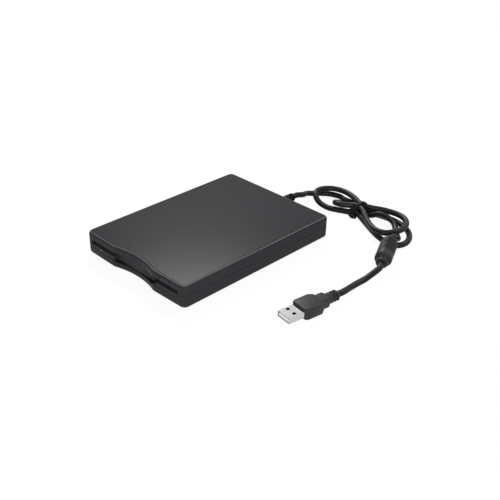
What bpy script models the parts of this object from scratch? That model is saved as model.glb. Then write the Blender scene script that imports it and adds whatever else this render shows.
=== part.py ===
# External floppy disk drive with its cord, hank, ferrite and plug.
# Metres, +Z up, front at -Y. Origin on the floor under the middle of the body.
import math
import bpy
import bmesh
import numpy as np
from mathutils import Vector, Matrix

MM = 0.001

# fits
GAP = 0.3 * MM
RUN_FIT = 0.05 * MM
LAP = 0.1 * MM
REACH = 10 * MM

# round pieces
SIDES_BIG = 36
SIDES = 20
SIDES_SMALL = 16
SHADE_ANGLE = math.radians(35)
WELD = 0.001 * MM

# case
CASE_WIDTH = 104 * MM
CASE_LENGTH = 142 * MM
CASE_LOW = 0.8 * MM
CASE_HIGH = 17.8 * MM
CORNER_R = 4.5 * MM
EDGE_R = 2.25 * MM
EDGE_STEPS = 5
CORNER_STEPS = 8
FRONT_BOW = 0.8 * MM
NOTCH_HALF = 21 * MM
NOTCH_SAG = 3.6 * MM
NOTCH_EASE = 0.25 * MM
NOTCH_EDGE = 2 * MM
NOTCH_STEPS = 14
NOTCH_EDGE_STEPS = 7
FRONT_STEPS = 6
WALL = 1.6 * MM
SEAM_Z = 10 * MM
SEAM = GAP

# openings in the front
BAY_HALF = 46 * MM
SLOT_LOW = 9.4 * MM
SLOT_HIGH = 13 * MM
LEDGE_SEAM_Z = 7.2 * MM
LIP_Z = 5.5 * MM
LIP_HALF = 20.4 * MM

# dust flap
FLAP_AXIS_Y = -65.8 * MM
FLAP_AXIS_Z = 14.1 * MM
FLAP_FACE = 0.8 * MM
FLAP_THICK = 0.75 * MM
FLAP_TONGUE_HALF = 19 * MM
FLAP_LEDGE_GAP = 0.4 * MM
FLAP_EAR = 1.4 * MM
FLAP_PIN_R = 0.6 * MM
FLAP_PIN_END = 49.3 * MM
BRACKET_THICK = 1.3 * MM
BRACKET_HALF_Y = 1.3 * MM
BRACKET_DROP = 1.2 * MM

# bezel
BEZEL_INSET = 0.15 * MM
BEZEL_LEFT_END = -20.7 * MM
BEZEL_RIGHT_END = 24.3 * MM
BEZEL_BACK = -64.5 * MM
BEZEL_SEAM = GAP
BEZEL_TOP = 9.5 * MM
RISER_WIDE = 6 * MM
RISER_THICK = 2 * MM
BAR_LOW = 3 * MM
BAR_HIGH = 4.6 * MM
BAR_BACK = -63.2 * MM
LED_X = -35.5 * MM
LED_WIDE = 2.6 * MM
LED_HIGH = 0.9 * MM
LED_Z = 8.5 * MM
LED_DEEP = 4 * MM

# eject button
BUTTON_LEFT = 28.9 * MM
BUTTON_RIGHT = 37.7 * MM
BUTTON_HIGH = 16.4 * MM
BUTTON_DEEP = 3.2 * MM
CHEEK_LONG = 3.8 * MM
CHEEK_WIDE = 2 * MM
CHEEK_LOW = 14.5 * MM
CHEEK_HIGH = 15.9 * MM
TONGUE_HALF = 1.7 * MM
TONGUE_DEEP = 2 * MM

# feet and case screws
FOOT_R = 4 * MM
FOOT_HIGH = 1.3 * MM
FOOT_X = 42 * MM
FOOT_FRONT_Y = -57 * MM
FOOT_BACK_Y = 52 * MM
SCREW_X = 46 * MM
SCREW_Y = 64.6 * MM
SCREW_R = 0.9 * MM
SCREW_HEAD_R = 2.2 * MM
SCREW_HEAD = 1.1 * MM
SCREW_LONG = 9 * MM
SCREW_SINK = 1.3 * MM
SCREW_BOSS = 1.1 * MM
BOSS_HIGH = 4.4 * MM
POST_R = 2.8 * MM
SLOT_CUT_HALF = 0.35 * MM
SLOT_CUT_DEEP = 0.5 * MM

# chassis
CHASSIS_Z = 2.8 * MM
SHEET = 0.8 * MM
THIN_SHEET = 0.6 * MM
CHASSIS_HALF = 49.7 * MM
CHASSIS_FRONT = -62.4 * MM
CHASSIS_BACK = 60.4 * MM
CHASSIS_TAIL = 68.6 * MM
CHASSIS_TAIL_LEFT = -17 * MM
CHASSIS_TAIL_RIGHT = 20 * MM
CHASSIS_HIGH = 13.8 * MM
CHASSIS_SCREW_X = 30 * MM
CHASSIS_SCREW_Y = 42 * MM

# disk holder, with the pins that ride in the slide plate's ramps
HOLDER_HALF = 46.9 * MM
HOLDER_FRONT = -54.5 * MM
HOLDER_BACK = 29 * MM
HOLDER_LOW = 8.8 * MM
HOLDER_HIGH = 13.8 * MM
FLANGE_IN = 35 * MM
FLANGE_FRONT = -35 * MM
FLANGE_BACK = 25 * MM
HEAD_SLOT_HALF = 14 * MM
HEAD_SLOT_FRONT = 0.5 * MM
PIN_R = 0.9 * MM
PIN_Z = 11.3 * MM
PIN_Y_FRONT = -40 * MM
PIN_Y_BACK = 14 * MM
PIN_END = 49.5 * MM
DROP = 2.5 * MM
TRAVEL = 5 * MM
PRESS = 0.5 * MM
PIN_FIT = 0.25 * MM

# slide plate
SLIDE_HALF = 48.3 * MM
SLIDE_TOP = 15.2 * MM
SLIDE_LOW = 7 * MM
SPRING_X = 30 * MM
WINDOW_HALF = 2.2 * MM
WINDOW_FRONT = -16 * MM
WINDOW_BACK = 12 * MM
HOOK_Y = -12.5 * MM
HOOK_HALF = 1 * MM
HOOK_TOP = 15.6 * MM
SPRING_R = 0.62 * MM
WIRE_R = 0.18 * MM
SPRING_TURNS = 9
TURN_POINTS = 6

# shutter lever
LEVER_X = -40 * MM
LEVER_Y = 23 * MM
LEVER_LOW = 11.5 * MM
LEVER_THICK = 1.4 * MM
LEVER_LONG = 22 * MM
LEVER_TAIL = 4.5 * MM
LEVER_HALF = 1.4 * MM
LEVER_BOSS_R = 2.8 * MM
LEVER_REST = math.radians(-35)
STUD_R = 1.5 * MM
STUD_HEAD_R = 2.4 * MM
STUD_HEAD = 0.5 * MM

# spindle
SPINDLE_Y = -18 * MM
BOARD_Z = 3.9 * MM
BOARD_THICK = 0.5 * MM
MOTOR_BOARD_LEFT = -34 * MM
MOTOR_BOARD_RIGHT = 26 * MM
MOTOR_BOARD_FRONT = -40 * MM
MOTOR_BOARD_BACK = 3 * MM
STATOR_LOW = 4.7 * MM
STATOR_HIGH = 5.5 * MM
STATOR_R = 15.6 * MM
STATOR_WAIST_R = 9.5 * MM
STATOR_BORE_R = 6 * MM
POLES = 9
BEARING_R = 3 * MM
SHAFT_R = 1.5 * MM
SHAFT_TOP = 8.2 * MM
CUP_LOW = 4.7 * MM
CUP_HIGH = 6.4 * MM
CUP_R = 19 * MM
CUP_WALL = 0.6 * MM
MAGNET_THICK = 1.6 * MM
HUB_HIGH = 7.2 * MM
HUB_R = 10 * MM
DRIVE_PIN_R = 1 * MM
DRIVE_PIN_AT = 6.5 * MM
DRIVE_PIN_TOP = 8 * MM

# heads
CARRIAGE_FRONT = 47.5 * MM
CARRIAGE_BACK = 58 * MM
CARRIAGE_HALF = 16 * MM
CARRIAGE_LOW = 6 * MM
CARRIAGE_HIGH = 11.9 * MM
LOWER_ARM_HALF = 5 * MM
LOWER_ARM_FRONT = 19 * MM
LOWER_ARM_LOW = 4.7 * MM
LOWER_ARM_HIGH = 6.1 * MM
HEAD_Y = 21.6 * MM
HEAD_HALF_X = 2 * MM
HEAD_HALF_Y = 1.8 * MM
HEAD_HIGH = 0.5 * MM
ARM_AXIS_Y = 52 * MM
ARM_AXIS_Z = 14.6 * MM
ARM_FRONT = 19.2 * MM
ARM_HALF = 5 * MM
ARM_LOW = 14.1 * MM
ARM_HIGH = 15.2 * MM
ARM_BACK = 53.2 * MM
ARM_PIN_R = 0.7 * MM
ARM_PIN_END = 7.4 * MM
EAR_IN = 6.2 * MM
EAR_THICK = 1.4 * MM
EAR_HALF_Y = 2 * MM
EAR_TOP = 15.8 * MM
UPPER_HEAD_LOW = 13.2 * MM
ROD_X = -12 * MM
ROD_Z = 9 * MM
ROD_R = 1.5 * MM
ROD_FRONT = 29.9 * MM
ROD_BACK = 66 * MM
RAIL_POST_HALF = 2.8 * MM
RAIL_POST_TOP = 11.4 * MM
RAIL_POST_FRONT = 30.2 * MM
RAIL_POST_THICK = 2 * MM
RAIL_POST_REAR = 63.4 * MM
SCREW_AXIS_X = 12 * MM
LEAD = 3.75 * MM
LEAD_BACK = 59 * MM
THREAD_DEEP = 0.3 * MM
THREAD_STEP = 0.6 * MM
THREAD_SIDES = 12
STEPPER_R = 4.8 * MM
STEPPER_FRONT = 59.4 * MM
STEPPER_BACK = 68.7 * MM
STEPPER_BOSS_R = 2.4 * MM
STEPPER_BOSS = 1 * MM
ARM_SPRING_R = 1.05 * MM

# sensors, switches and boards
SENSOR_LEFT = -22.4 * MM
SENSOR_RIGHT = -17.4 * MM
SENSOR_FRONT = 48.4 * MM
SENSOR_BACK = 51.4 * MM
SENSOR_LOW = 3.9 * MM
SENSOR_BASE = 5 * MM
SENSOR_HIGH = 8 * MM
SENSOR_POST = 1.4 * MM
FLAG_HALF = 0.4 * MM
FLAG_LOW = 6 * MM
FLAG_BAR_LOW = 8.6 * MM
FLAG_BAR_HIGH = 9.4 * MM
SWITCH_LEFT = -46 * MM
SWITCH_RIGHT = -36 * MM
SWITCH_FRONT = -60 * MM
SWITCH_BACK = -52 * MM
SWITCH_HIGH = 6.2 * MM
PLUNGER_R = 0.8 * MM
PLUNGER_TOP = 8.2 * MM
PLUNGER_STEP = 3 * MM
PLUNGER_PLAY = 0.3 * MM
PLUNGER_WELL = 1.5 * MM
PLUNGER_TRAVEL = 1.1 * MM
USB_BOARD_LEFT = -44 * MM
USB_BOARD_RIGHT = -24 * MM
USB_BOARD_FRONT = 36 * MM
USB_BOARD_BACK = 59 * MM
USB_BOARD_LOW = 6 * MM
USB_BOARD_THICK = 1 * MM
STANDOFF_R = 1.4 * MM
STANDOFF_IN = 3 * MM
CHIP_LEFT = -41 * MM
CHIP_FRONT = 42 * MM
CHIP_SIZE = 9 * MM
CHIP_HIGH = 1.2 * MM
CRYSTAL_LEFT = -29.5 * MM
CRYSTAL_FRONT = 40 * MM
CRYSTAL_WIDE = 3.2 * MM
CRYSTAL_LONG = 7 * MM
FLAT_CABLE_LEFT = -33 * MM
FLAT_CABLE_WIDE = 7 * MM
FLAT_CABLE_THICK = 0.3 * MM
FLAT_CABLE_RISE = 3 * MM
FLEX_FRONT = 53 * MM
FLEX_WIDE = 4.4 * MM
FLEX_THICK = 0.2 * MM
FLEX_REACH = 4 * MM
FLEX_RISE = 4.6 * MM
FLEX_FOOT = 1.6 * MM
FLEX_STEPS = 10
FLEX_SIDE_Z = 9.6 * MM

# strain relief
CORD_D = 4.5 * MM
RELIEF_X = 0.5 * MM
RELIEF_Z = 8.8 * MM
RELIEF_BASE_R = 3.75 * MM
RELIEF_TIP_R = 3.25 * MM
RELIEF_END_Y = 87 * MM
RELIEF_NECK_R = 2.9 * MM
RELIEF_FLANGE_R = 4.6 * MM
RELIEF_FLANGE = 0.9 * MM
RELIEF_STUB_R = 2 * MM
RELIEF_STUB = 5 * MM
RIB_GROOVE = 1 * MM
RIB_STEP = 2.2 * MM
RIB_DEEP = 0.55 * MM
RIBS = 2

# cord route: the hank is four loops drawn by one formula, then settled apart
TURN_GAP = 0.5 * MM
FLOOR_LIFT = 0.1 * MM
TIE_LIFT = 1.15 * MM
PITCH = CORD_D + TURN_GAP
FLOOR_Z = CORD_D / 2 + FLOOR_LIFT
NEST = PITCH * math.sqrt(3) / 2
UPPER_Z = FLOOR_Z + PITCH
WAIST_LOW = FLOOR_Z + TIE_LIFT
WAIST_HIGH = WAIST_LOW + NEST
WAIST_X = 46.4 * MM
WAIST_Y = 115.8 * MM
WAIST_TURN = math.radians(-4.7)
WAIST_HALF = 3 * MM
LOOP_POINTS = 24
RIGHT_LOW_LONG = 51.3 * MM
RIGHT_LOW_WIDE = 21.3 * MM
RIGHT_LOW_SWAY = -11.5 * MM
RIGHT_UP_LONG = 42.4 * MM
RIGHT_UP_WIDE = 28.5 * MM
RIGHT_UP_SWAY = -7.6 * MM
RIGHT_UP_HUMP = 8.2 * MM
LEFT_BIG_LONG = 38.5 * MM
LEFT_BIG_WIDE = 19 * MM
LEFT_BIG_SWAY = -3.2 * MM
LEFT_IN_LONG = 22.3 * MM
LEFT_IN_WIDE = 15 * MM
LEFT_IN_SWAY = -13.9 * MM
PINCH_RIGHT = 1.3
PINCH_LEFT_BIG = 1.13
PINCH_LEFT_IN = 1.5
ROUTE_STEP = 5 * MM
STRETCH_STEP = 2.5 * MM
STRAIGHT_SHARE = 1.4
ROUTE_FINE = 24
CLOSE_POINTS = 1.5 * MM
SETTLE_ROUNDS = 600
SETTLE_NEED = 5.06 * MM
SETTLE_APART = 14 * MM
SETTLE_BEND = 7.5 * MM
LEAST_GAP = 0.4 * MM
ENTRY_U = (-45.51 * MM, -40.83 * MM, -30.97 * MM, -23.24 * MM, -12.55 * MM)
ENTRY_V = (-8.06 * MM, 1.98 * MM, 7.11 * MM, 6.27 * MM, 7.34 * MM)
ENTRY_Z = (3.75 * MM, 2.38 * MM, 2.41 * MM, 2.52 * MM, 2.36 * MM)
LEAVE_U = (7.86 * MM, 15.95 * MM, 28.98 * MM, 39.38 * MM, 48.36 * MM, 49.29 * MM)
LEAVE_V = (0.78 * MM, 4.46 * MM, 4.93 * MM, -3.23 * MM, -11.93 * MM, -16.82 * MM)
LEAVE_Z = (2.61 * MM, 6.11 * MM, 4.38 * MM, 2.36 * MM, 4.4 * MM, 8.52 * MM)
LEAD_DIP_Y = 100 * MM
LEAD_DIP_Z = 6.6 * MM

# twist tie
TIE_THICK = 0.45 * MM
TIE_WIDE = 2.6 * MM
TIE_FIT = 0.28 * MM
TIE_TAIL = 6 * MM
TIE_TAIL_HALF = 0.55 * MM
TIE_TAIL_TURN = math.radians(720)
TIE_TAIL_STEPS = 16
TIE_TAIL_TOP_TILT = math.radians(15)
TIE_LUMP_LONG = 9 * MM
TIE_LUMP_R = 1.7 * MM
TIE_LUMP_STEPS = 8
TIE_LUMP_SIDES = 10

# ferrite choke
FERRITE_R = 6.2 * MM
FERRITE_TOP = (95.6 * MM, 88 * MM, 8.9 * MM)
FERRITE_LOW = (105.5 * MM, 67.3 * MM, 7.27 * MM)
FERRITE_SHIFT = 4 * MM
FERRITE_ROUND = 1 * MM
FERRITE_GROOVES = 9
FERRITE_GROOVE_SHARE = 0.45
FERRITE_GROOVED_SHARE = 0.68
FERRITE_PLAIN = 1.4 * MM
FERRITE_GROOVE = 1.2 * MM
FERRITE_FACING = (0.55, 0.2, 0.81)
COLLAR_R = 4.25 * MM
COLLAR_LONG = 4.5 * MM
COLLAR_RING = 1.8 * MM
COLLAR_GROOVE = 0.9 * MM
COLLAR_DEEP = 0.8 * MM

# tail and plug
PLUG_BACK = (110.6 * MM, 10.5 * MM, 4.2 * MM)
PLUG_TIP = (104.2 * MM, -33.7 * MM, 4.2 * MM)
PLUG_RELIEF_LONG = 9 * MM
PLUG_RELIEF_WIDE = 7 * MM
PLUG_RELIEF_HIGH = 6.4 * MM
PLUG_STEP_LONG = 6.5 * MM
PLUG_STEP_WIDE = 9.6 * MM
PLUG_STEP_HIGH = 7.2 * MM
PLUG_BODY_LONG = 17 * MM
PLUG_BODY_WIDE = 15.6 * MM
PLUG_BODY_HIGH = 8 * MM
PLUG_BEVEL = 1.2 * MM
PLUG_TAPER = 5.5 * MM
PLUG_CORNER = 3 * MM
PLUG_CORNER_STEPS = 5
PLUG_RELIEF_BEVEL = 1.6 * MM
PLUG_GROOVE = 1 * MM
PLUG_GROOVE_STEP = 2.4 * MM
PLUG_GROOVE_AT = 2.2 * MM
PLUG_GROOVE_DEEP = 0.6 * MM
SHELL_WIDE = 12 * MM
SHELL_HIGH = 4.5 * MM
SHELL_SHEET = 0.3 * MM
SHELL_BEVEL = 0.45 * MM
SHELL_BEVEL_IN = 0.3 * MM
SHELL_HOLE = 2.4 * MM
SHELL_HOLE_BACK = 6 * MM
SHELL_HOLE_APART = 6.2 * MM
PLUG_TONGUE_HIGH = 1.85 * MM
PLUG_TONGUE_SET_BACK = 0.8 * MM
CONTACTS = 4
CONTACT_STEP = 2.3 * MM
CONTACT_HALF = 0.5 * MM
CONTACT_LONG = 7 * MM
CONTACT_HIGH = 0.12 * MM
TAIL_A = (109.9 * MM, 40 * MM)
TAIL_B = (109.6 * MM, 26.5 * MM)

# derived heights and edges shared by several pieces
FLOOR_TOP = CASE_LOW + WALL
ROOF_LOW = CASE_HIGH - WALL
CHASSIS_TOP = CHASSIS_Z + SHEET
HOLDER_PLATE_LOW = HOLDER_HIGH - THIN_SHEET
SLIDE_PLATE_LOW = SLIDE_TOP - THIN_SHEET
FRONT = -CASE_LENGTH / 2
BACK = CASE_LENGTH / 2
FLAP_TOP = SLOT_HIGH - GAP
FLAP_MID = BEZEL_TOP + FLAP_LEDGE_GAP
FLAP_LOW = LIP_Z + GAP
FLAP_FRONT_Y = FLAP_AXIS_Y - FLAP_FACE
FLAP_BACK_Y = FLAP_FRONT_Y + FLAP_THICK
FLAP_HALF = BAY_HALF - GAP
BUTTON_LOW = SLOT_HIGH + GAP


def remove_all():
    for item in list(bpy.data.objects):
        bpy.data.objects.remove(item)


def material(name, colour, metal, rough):
    made = bpy.data.materials.new(name)
    made.use_nodes = True
    shader = made.node_tree.nodes["Principled BSDF"]
    shader.inputs["Base Color"].default_value = (colour[0], colour[1], colour[2], 1)
    shader.inputs["Metallic"].default_value = metal
    shader.inputs["Roughness"].default_value = rough
    return made


def raw_object(name, shape):
    mesh = bpy.data.meshes.new(name)
    mesh.from_pydata([tuple(p) for p in shape[0]], [], shape[1])
    work = bmesh.new()
    work.from_mesh(mesh)
    bmesh.ops.recalc_face_normals(work, faces=work.faces)
    work.to_mesh(mesh)
    work.free()
    made = bpy.data.objects.new(name, mesh)
    bpy.context.scene.collection.objects.link(made)
    return made


def combine(target, shape, operation):
    """Join or cut a shape into the target, and keep the result as its mesh."""
    tool = raw_object("tool", shape)
    tool.hide_render = True
    tool.display_type = "WIRE"
    step = target.modifiers.new("step", "BOOLEAN")
    step.operation = operation
    step.solver = "EXACT"
    step.object = tool
    bpy.context.view_layer.update()
    graph = bpy.context.evaluated_depsgraph_get()
    result = bpy.data.meshes.new_from_object(target.evaluated_get(graph))
    target.modifiers.clear()
    target.data = result
    bpy.data.objects.remove(tool)


def finish(item, colour, metal, rough, at):
    mesh = item.data
    work = bmesh.new()
    work.from_mesh(mesh)
    bmesh.ops.remove_doubles(work, verts=work.verts, dist=WELD)
    bmesh.ops.dissolve_degenerate(work, edges=work.edges, dist=WELD)
    if at is not None:
        bmesh.ops.translate(work, verts=work.verts, vec=-Vector(at))
        item.location = Vector(at)
    work.to_mesh(mesh)
    work.free()
    mesh.materials.clear()
    mesh.materials.append(material(item.name, colour, metal, rough))
    for face in mesh.polygons:
        face.use_smooth = True
    mesh.set_sharp_from_angle(angle=SHADE_ANGLE)
    return item


def solid(name, look, shapes, cuts=(), keep=None, at=None):
    """One closed piece: shapes joined, cut back to keep, with cuts taken out."""
    item = raw_object(name, shapes[0])
    if keep is not None:
        combine(item, keep, "INTERSECT")
    for shape in shapes[1:]:
        combine(item, shape, "UNION")
    for shape in cuts:
        combine(item, shape, "DIFFERENCE")
    return finish(item, look[0], look[1], look[2], at)


def prism(outline, low, high, axis=2):
    """An outline given in the two other axes, in order, pulled along one axis."""
    points = []
    for level in (low, high):
        for a, b in outline:
            if axis == 2:
                points.append((a, b, level))
            elif axis == 1:
                points.append((a, level, b))
            else:
                points.append((level, a, b))
    n = len(outline)
    faces = [tuple(range(n - 1, -1, -1)), tuple(range(n, 2 * n))]
    faces += [(i, (i + 1) % n, (i + 1) % n + n, i + n) for i in range(n)]
    return points, faces


def block(x0, x1, y0, y1, z0, z1):
    return prism([(x0, y0), (x1, y0), (x1, y1), (x0, y1)], z0, z1)


def two(first, second):
    """Two shapes that don't touch, as one."""
    n = len(first[0])
    return first[0] + second[0], first[1] + [tuple(i + n for i in face) for face in second[1]]


def circle(cx, cy, radius, sides, start=0.0, sweep=2 * math.pi):
    full = sweep >= 2 * math.pi
    count = sides if full else sides + 1
    return [(cx + radius * math.cos(start + sweep * i / sides),
             cy + radius * math.sin(start + sweep * i / sides)) for i in range(count)]


def drum(x, y, radius, low, high, sides=SIDES, axis=2):
    return prism(circle(x, y, radius, sides), low, high, axis)


def frame_of(direction):
    along = Vector(direction).normalized()
    side = along.cross(Vector((0, 0, 1)))
    if side.length < 0.1:
        side = Vector((1, 0, 0))
    side.normalize()
    return side, side.cross(along).normalized(), along


def turned(profile, centre, direction=(0, 0, 1), sides=SIDES, ring=False):
    """A profile of (along, radius) spun about an axis; a ring's profile is a closed section."""
    side, up, along = frame_of(direction)
    middle = Vector(centre)
    points = []
    rows = []
    for reach, radius in profile:
        if radius == 0:
            rows.append([len(points)])
            points.append(middle + along * reach)
            continue
        rows.append(list(range(len(points), len(points) + sides)))
        for i in range(sides):
            turn = 2 * math.pi * i / sides
            spoke = side * math.cos(turn) + up * math.sin(turn)
            points.append(middle + along * reach + spoke * radius)
    pairs = list(zip(rows, rows[1:]))
    if ring:
        pairs.append((rows[-1], rows[0]))
    faces = []
    for a, b in pairs:
        for i in range(sides):
            j = (i + 1) % sides
            if len(a) == 1:
                faces.append((a[0], b[i], b[j]))
            elif len(b) == 1:
                faces.append((a[j], a[i], b[0]))
            else:
                faces.append((a[i], b[i], b[j], a[j]))
    return points, faces


def loft(rings):
    n = len(rings[0])
    points = [p for ring in rings for p in ring]
    faces = [tuple(range(n - 1, -1, -1)), tuple(range((len(rings) - 1) * n, len(rings) * n))]
    for k in range(len(rings) - 1):
        faces += [(k * n + i, k * n + (i + 1) % n, (k + 1) * n + (i + 1) % n, (k + 1) * n + i)
                  for i in range(n)]
    return points, faces


def front_y(x):
    """The bowed front with the finger notch in it."""
    bow = FRONT_BOW * (x / (CASE_WIDTH / 2)) ** 2
    radius = (NOTCH_HALF ** 2 + NOTCH_SAG ** 2) / (2 * NOTCH_SAG)
    dip = math.sqrt(radius ** 2 - x * x) - (radius - NOTCH_SAG)
    return FRONT + bow + (dip + math.hypot(dip, NOTCH_EASE)) / 2


def case_outline():
    side = CASE_WIDTH / 2 - CORNER_R
    inner = NOTCH_HALF - NOTCH_EDGE
    outer = NOTCH_HALF + NOTCH_EDGE
    xs = list(np.linspace(-side, -outer, FRONT_STEPS))
    xs += list(np.linspace(-outer, -inner, NOTCH_EDGE_STEPS))[1:]
    xs += list(np.linspace(-inner, inner, NOTCH_STEPS))[1:]
    xs += list(np.linspace(inner, outer, NOTCH_EDGE_STEPS))[1:]
    xs += list(np.linspace(outer, side, FRONT_STEPS))[1:]
    points = [(float(x), front_y(float(x))) for x in xs]
    quarter = math.pi / 2
    low = front_y(side) + CORNER_R
    points += circle(side, low, CORNER_R, CORNER_STEPS, -quarter, quarter)[1:]
    points += circle(side, BACK - CORNER_R, CORNER_R, CORNER_STEPS, 0, quarter)
    points += circle(-side, BACK - CORNER_R, CORNER_R, CORNER_STEPS, quarter, quarter)
    points += circle(-side, low, CORNER_R, CORNER_STEPS, 2 * quarter, quarter)[:-1]
    return points


def inset(outline, depth):
    n = len(outline)
    moved = []
    for i in range(n):
        a = Vector(outline[i - 1])
        b = Vector(outline[i])
        c = Vector(outline[(i + 1) % n])
        first = (b - a).normalized()
        second = (c - b).normalized()
        normal = Vector((-first.y - second.y, first.x + second.x)).normalized()
        lean = max(0.5, normal.dot(Vector((-first.y, first.x))))
        moved.append(tuple(b + normal * (depth / lean)))
    return moved


def case_half(outline, seam_z, end_z):
    """Outer skin of one cover, from the seam to its rounded outer edge."""
    way = 1 if end_z > seam_z else -1
    rings = [[(x, y, seam_z) for x, y in outline]]
    for k in range(EDGE_STEPS + 1):
        turn = math.pi / 2 * k / EDGE_STEPS
        depth = EDGE_R * (1 - math.cos(turn))
        level = end_z - way * EDGE_R * (1 - math.sin(turn))
        rings.append([(x, y, level) for x, y in inset(outline, depth)])
    return loft(rings)


PLASTIC = ((0.035, 0.034, 0.037), 0.0, 0.5)
TRIM = ((0.045, 0.044, 0.047), 0.0, 0.45)
BLACK = ((0.012, 0.012, 0.013), 0.0, 0.5)
RUBBER = ((0.02, 0.02, 0.021), 0.0, 0.75)
STEEL = ((0.55, 0.55, 0.56), 1.0, 0.35)
ZINC = ((0.62, 0.61, 0.58), 1.0, 0.3)
BRASS = ((0.7, 0.5, 0.2), 1.0, 0.35)
BOARD = ((0.02, 0.14, 0.05), 0.0, 0.45)
WHITE = ((0.75, 0.75, 0.72), 0.0, 0.45)
CERAMIC = ((0.6, 0.58, 0.52), 0.0, 0.25)
FERRITE = ((0.06, 0.06, 0.065), 0.2, 0.6)
FILM = ((0.45, 0.2, 0.05), 0.0, 0.4)
LENS = ((0.02, 0.06, 0.03), 0.0, 0.15)
CORD = ((0.018, 0.018, 0.02), 0.0, 0.5)


def build_case():
    outline = case_outline()
    hollow = inset(outline, WALL)
    relief_hole = drum(RELIEF_X, RELIEF_Z, RELIEF_NECK_R + GAP, BACK - REACH / 2, BACK + REACH, SIDES, 1)
    slot = block(-BAY_HALF, BAY_HALF, FRONT - REACH, BEZEL_BACK, SEAM_Z - REACH / 2, SLOT_HIGH)
    button_hole = block(BUTTON_LEFT - GAP, BUTTON_RIGHT + GAP, FRONT - REACH, BEZEL_BACK - GAP,
                        SLOT_HIGH - LAP, BUTTON_HIGH + GAP)
    posts = []
    bores = []
    for x in (-SCREW_X, SCREW_X):
        posts.append(drum(x, SCREW_Y, POST_R, BOSS_HIGH + GAP, ROOF_LOW + LAP))
        bores.append(drum(x, SCREW_Y, SCREW_R + PIN_FIT, BOSS_HIGH - REACH, SCREW_LONG + GAP + SCREW_BOSS))
    for way in (-1, 1):
        near = way * (FLAP_PIN_END - BRACKET_THICK)
        far = way * FLAP_PIN_END
        posts.append(block(min(near, far), max(near, far), FLAP_AXIS_Y - BRACKET_HALF_Y,
                           FLAP_AXIS_Y + BRACKET_HALF_Y, FLAP_AXIS_Z - BRACKET_DROP, ROOF_LOW + LAP))
    flap_bore = drum(FLAP_AXIS_Y, FLAP_AXIS_Z, FLAP_PIN_R + RUN_FIT, -FLAP_PIN_END - LAP,
                     FLAP_PIN_END + LAP, SIDES_SMALL, 0)
    cavity = prism(hollow, SEAM_Z - REACH, ROOF_LOW)
    solid("top_cover", PLASTIC, [case_half(outline, SEAM_Z + SEAM / 2, CASE_HIGH)],
          [cavity, slot, button_hole, relief_hole])
    top = bpy.data.objects["top_cover"]
    for shape in posts:
        combine(top, shape, "UNION")
    for shape in bores + [flap_bore]:
        combine(top, shape, "DIFFERENCE")
    finish(top, PLASTIC[0], PLASTIC[1], PLASTIC[2], None)

    low_cut = block(-BAY_HALF, BAY_HALF, FRONT - REACH, BEZEL_BACK, LEDGE_SEAM_Z, SEAM_Z + REACH)
    lip_cut = block(-LIP_HALF, LIP_HALF, FRONT - REACH, BEZEL_BACK, LIP_Z, SEAM_Z + REACH)
    bosses = []
    holes = [relief_hole, low_cut, lip_cut]
    feet = []
    for x in (-SCREW_X, SCREW_X):
        bosses.append(drum(x, SCREW_Y, POST_R, FLOOR_TOP - LAP, BOSS_HIGH))
        holes.append(drum(x, SCREW_Y, SCREW_HEAD_R + GAP, CASE_LOW - REACH, CASE_LOW + SCREW_SINK + GAP))
        holes.append(drum(x, SCREW_Y, SCREW_R + PIN_FIT, CASE_LOW - LAP, BOSS_HIGH + LAP))
        for y in (FOOT_FRONT_Y, FOOT_BACK_Y):
            feet.append((x / abs(x) * FOOT_X, y))
    for x, y in feet:
        holes.append(drum(x, y, FOOT_R + GAP, CASE_LOW - REACH, FOOT_HIGH + GAP, SIDES))
    for x in (-CHASSIS_SCREW_X, CHASSIS_SCREW_X):
        holes.append(drum(x, CHASSIS_SCREW_Y, SCREW_R + PIN_FIT, FLOOR_TOP - SCREW_SINK, FLOOR_TOP + LAP))
    cavity = prism(hollow, FLOOR_TOP, SEAM_Z + REACH)
    bottom = solid("bottom_cover", PLASTIC, [case_half(outline, SEAM_Z - SEAM / 2, CASE_LOW)], [cavity])
    for shape in bosses:
        combine(bottom, shape, "UNION")
    for shape in holes:
        combine(bottom, shape, "DIFFERENCE")
    finish(bottom, PLASTIC[0], PLASTIC[1], PLASTIC[2], None)

    for i, (x, y) in enumerate(feet):
        solid("rubber_foot_%d" % (i + 1), RUBBER, [drum(x, y, FOOT_R, 0, FOOT_HIGH, SIDES)])
    for i, x in enumerate((-SCREW_X, SCREW_X)):
        head = CASE_LOW + SCREW_SINK
        slots = [block(x - SLOT_CUT_HALF, x + SLOT_CUT_HALF, SCREW_Y - POST_R, SCREW_Y + POST_R,
                       head - SCREW_HEAD - REACH, head - SCREW_HEAD + SLOT_CUT_DEEP)]
        profile = [(head - SCREW_HEAD, 0), (head - SCREW_HEAD, SCREW_HEAD_R), (head, SCREW_HEAD_R),
                   (head, SCREW_R), (head + SCREW_LONG - SCREW_HEAD, SCREW_R),
                   (head + SCREW_LONG - SCREW_HEAD, 0)]
        solid("case_screw_%d" % (i + 1), STEEL, [turned(profile, (x, SCREW_Y, 0))], slots)
    return outline


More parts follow.
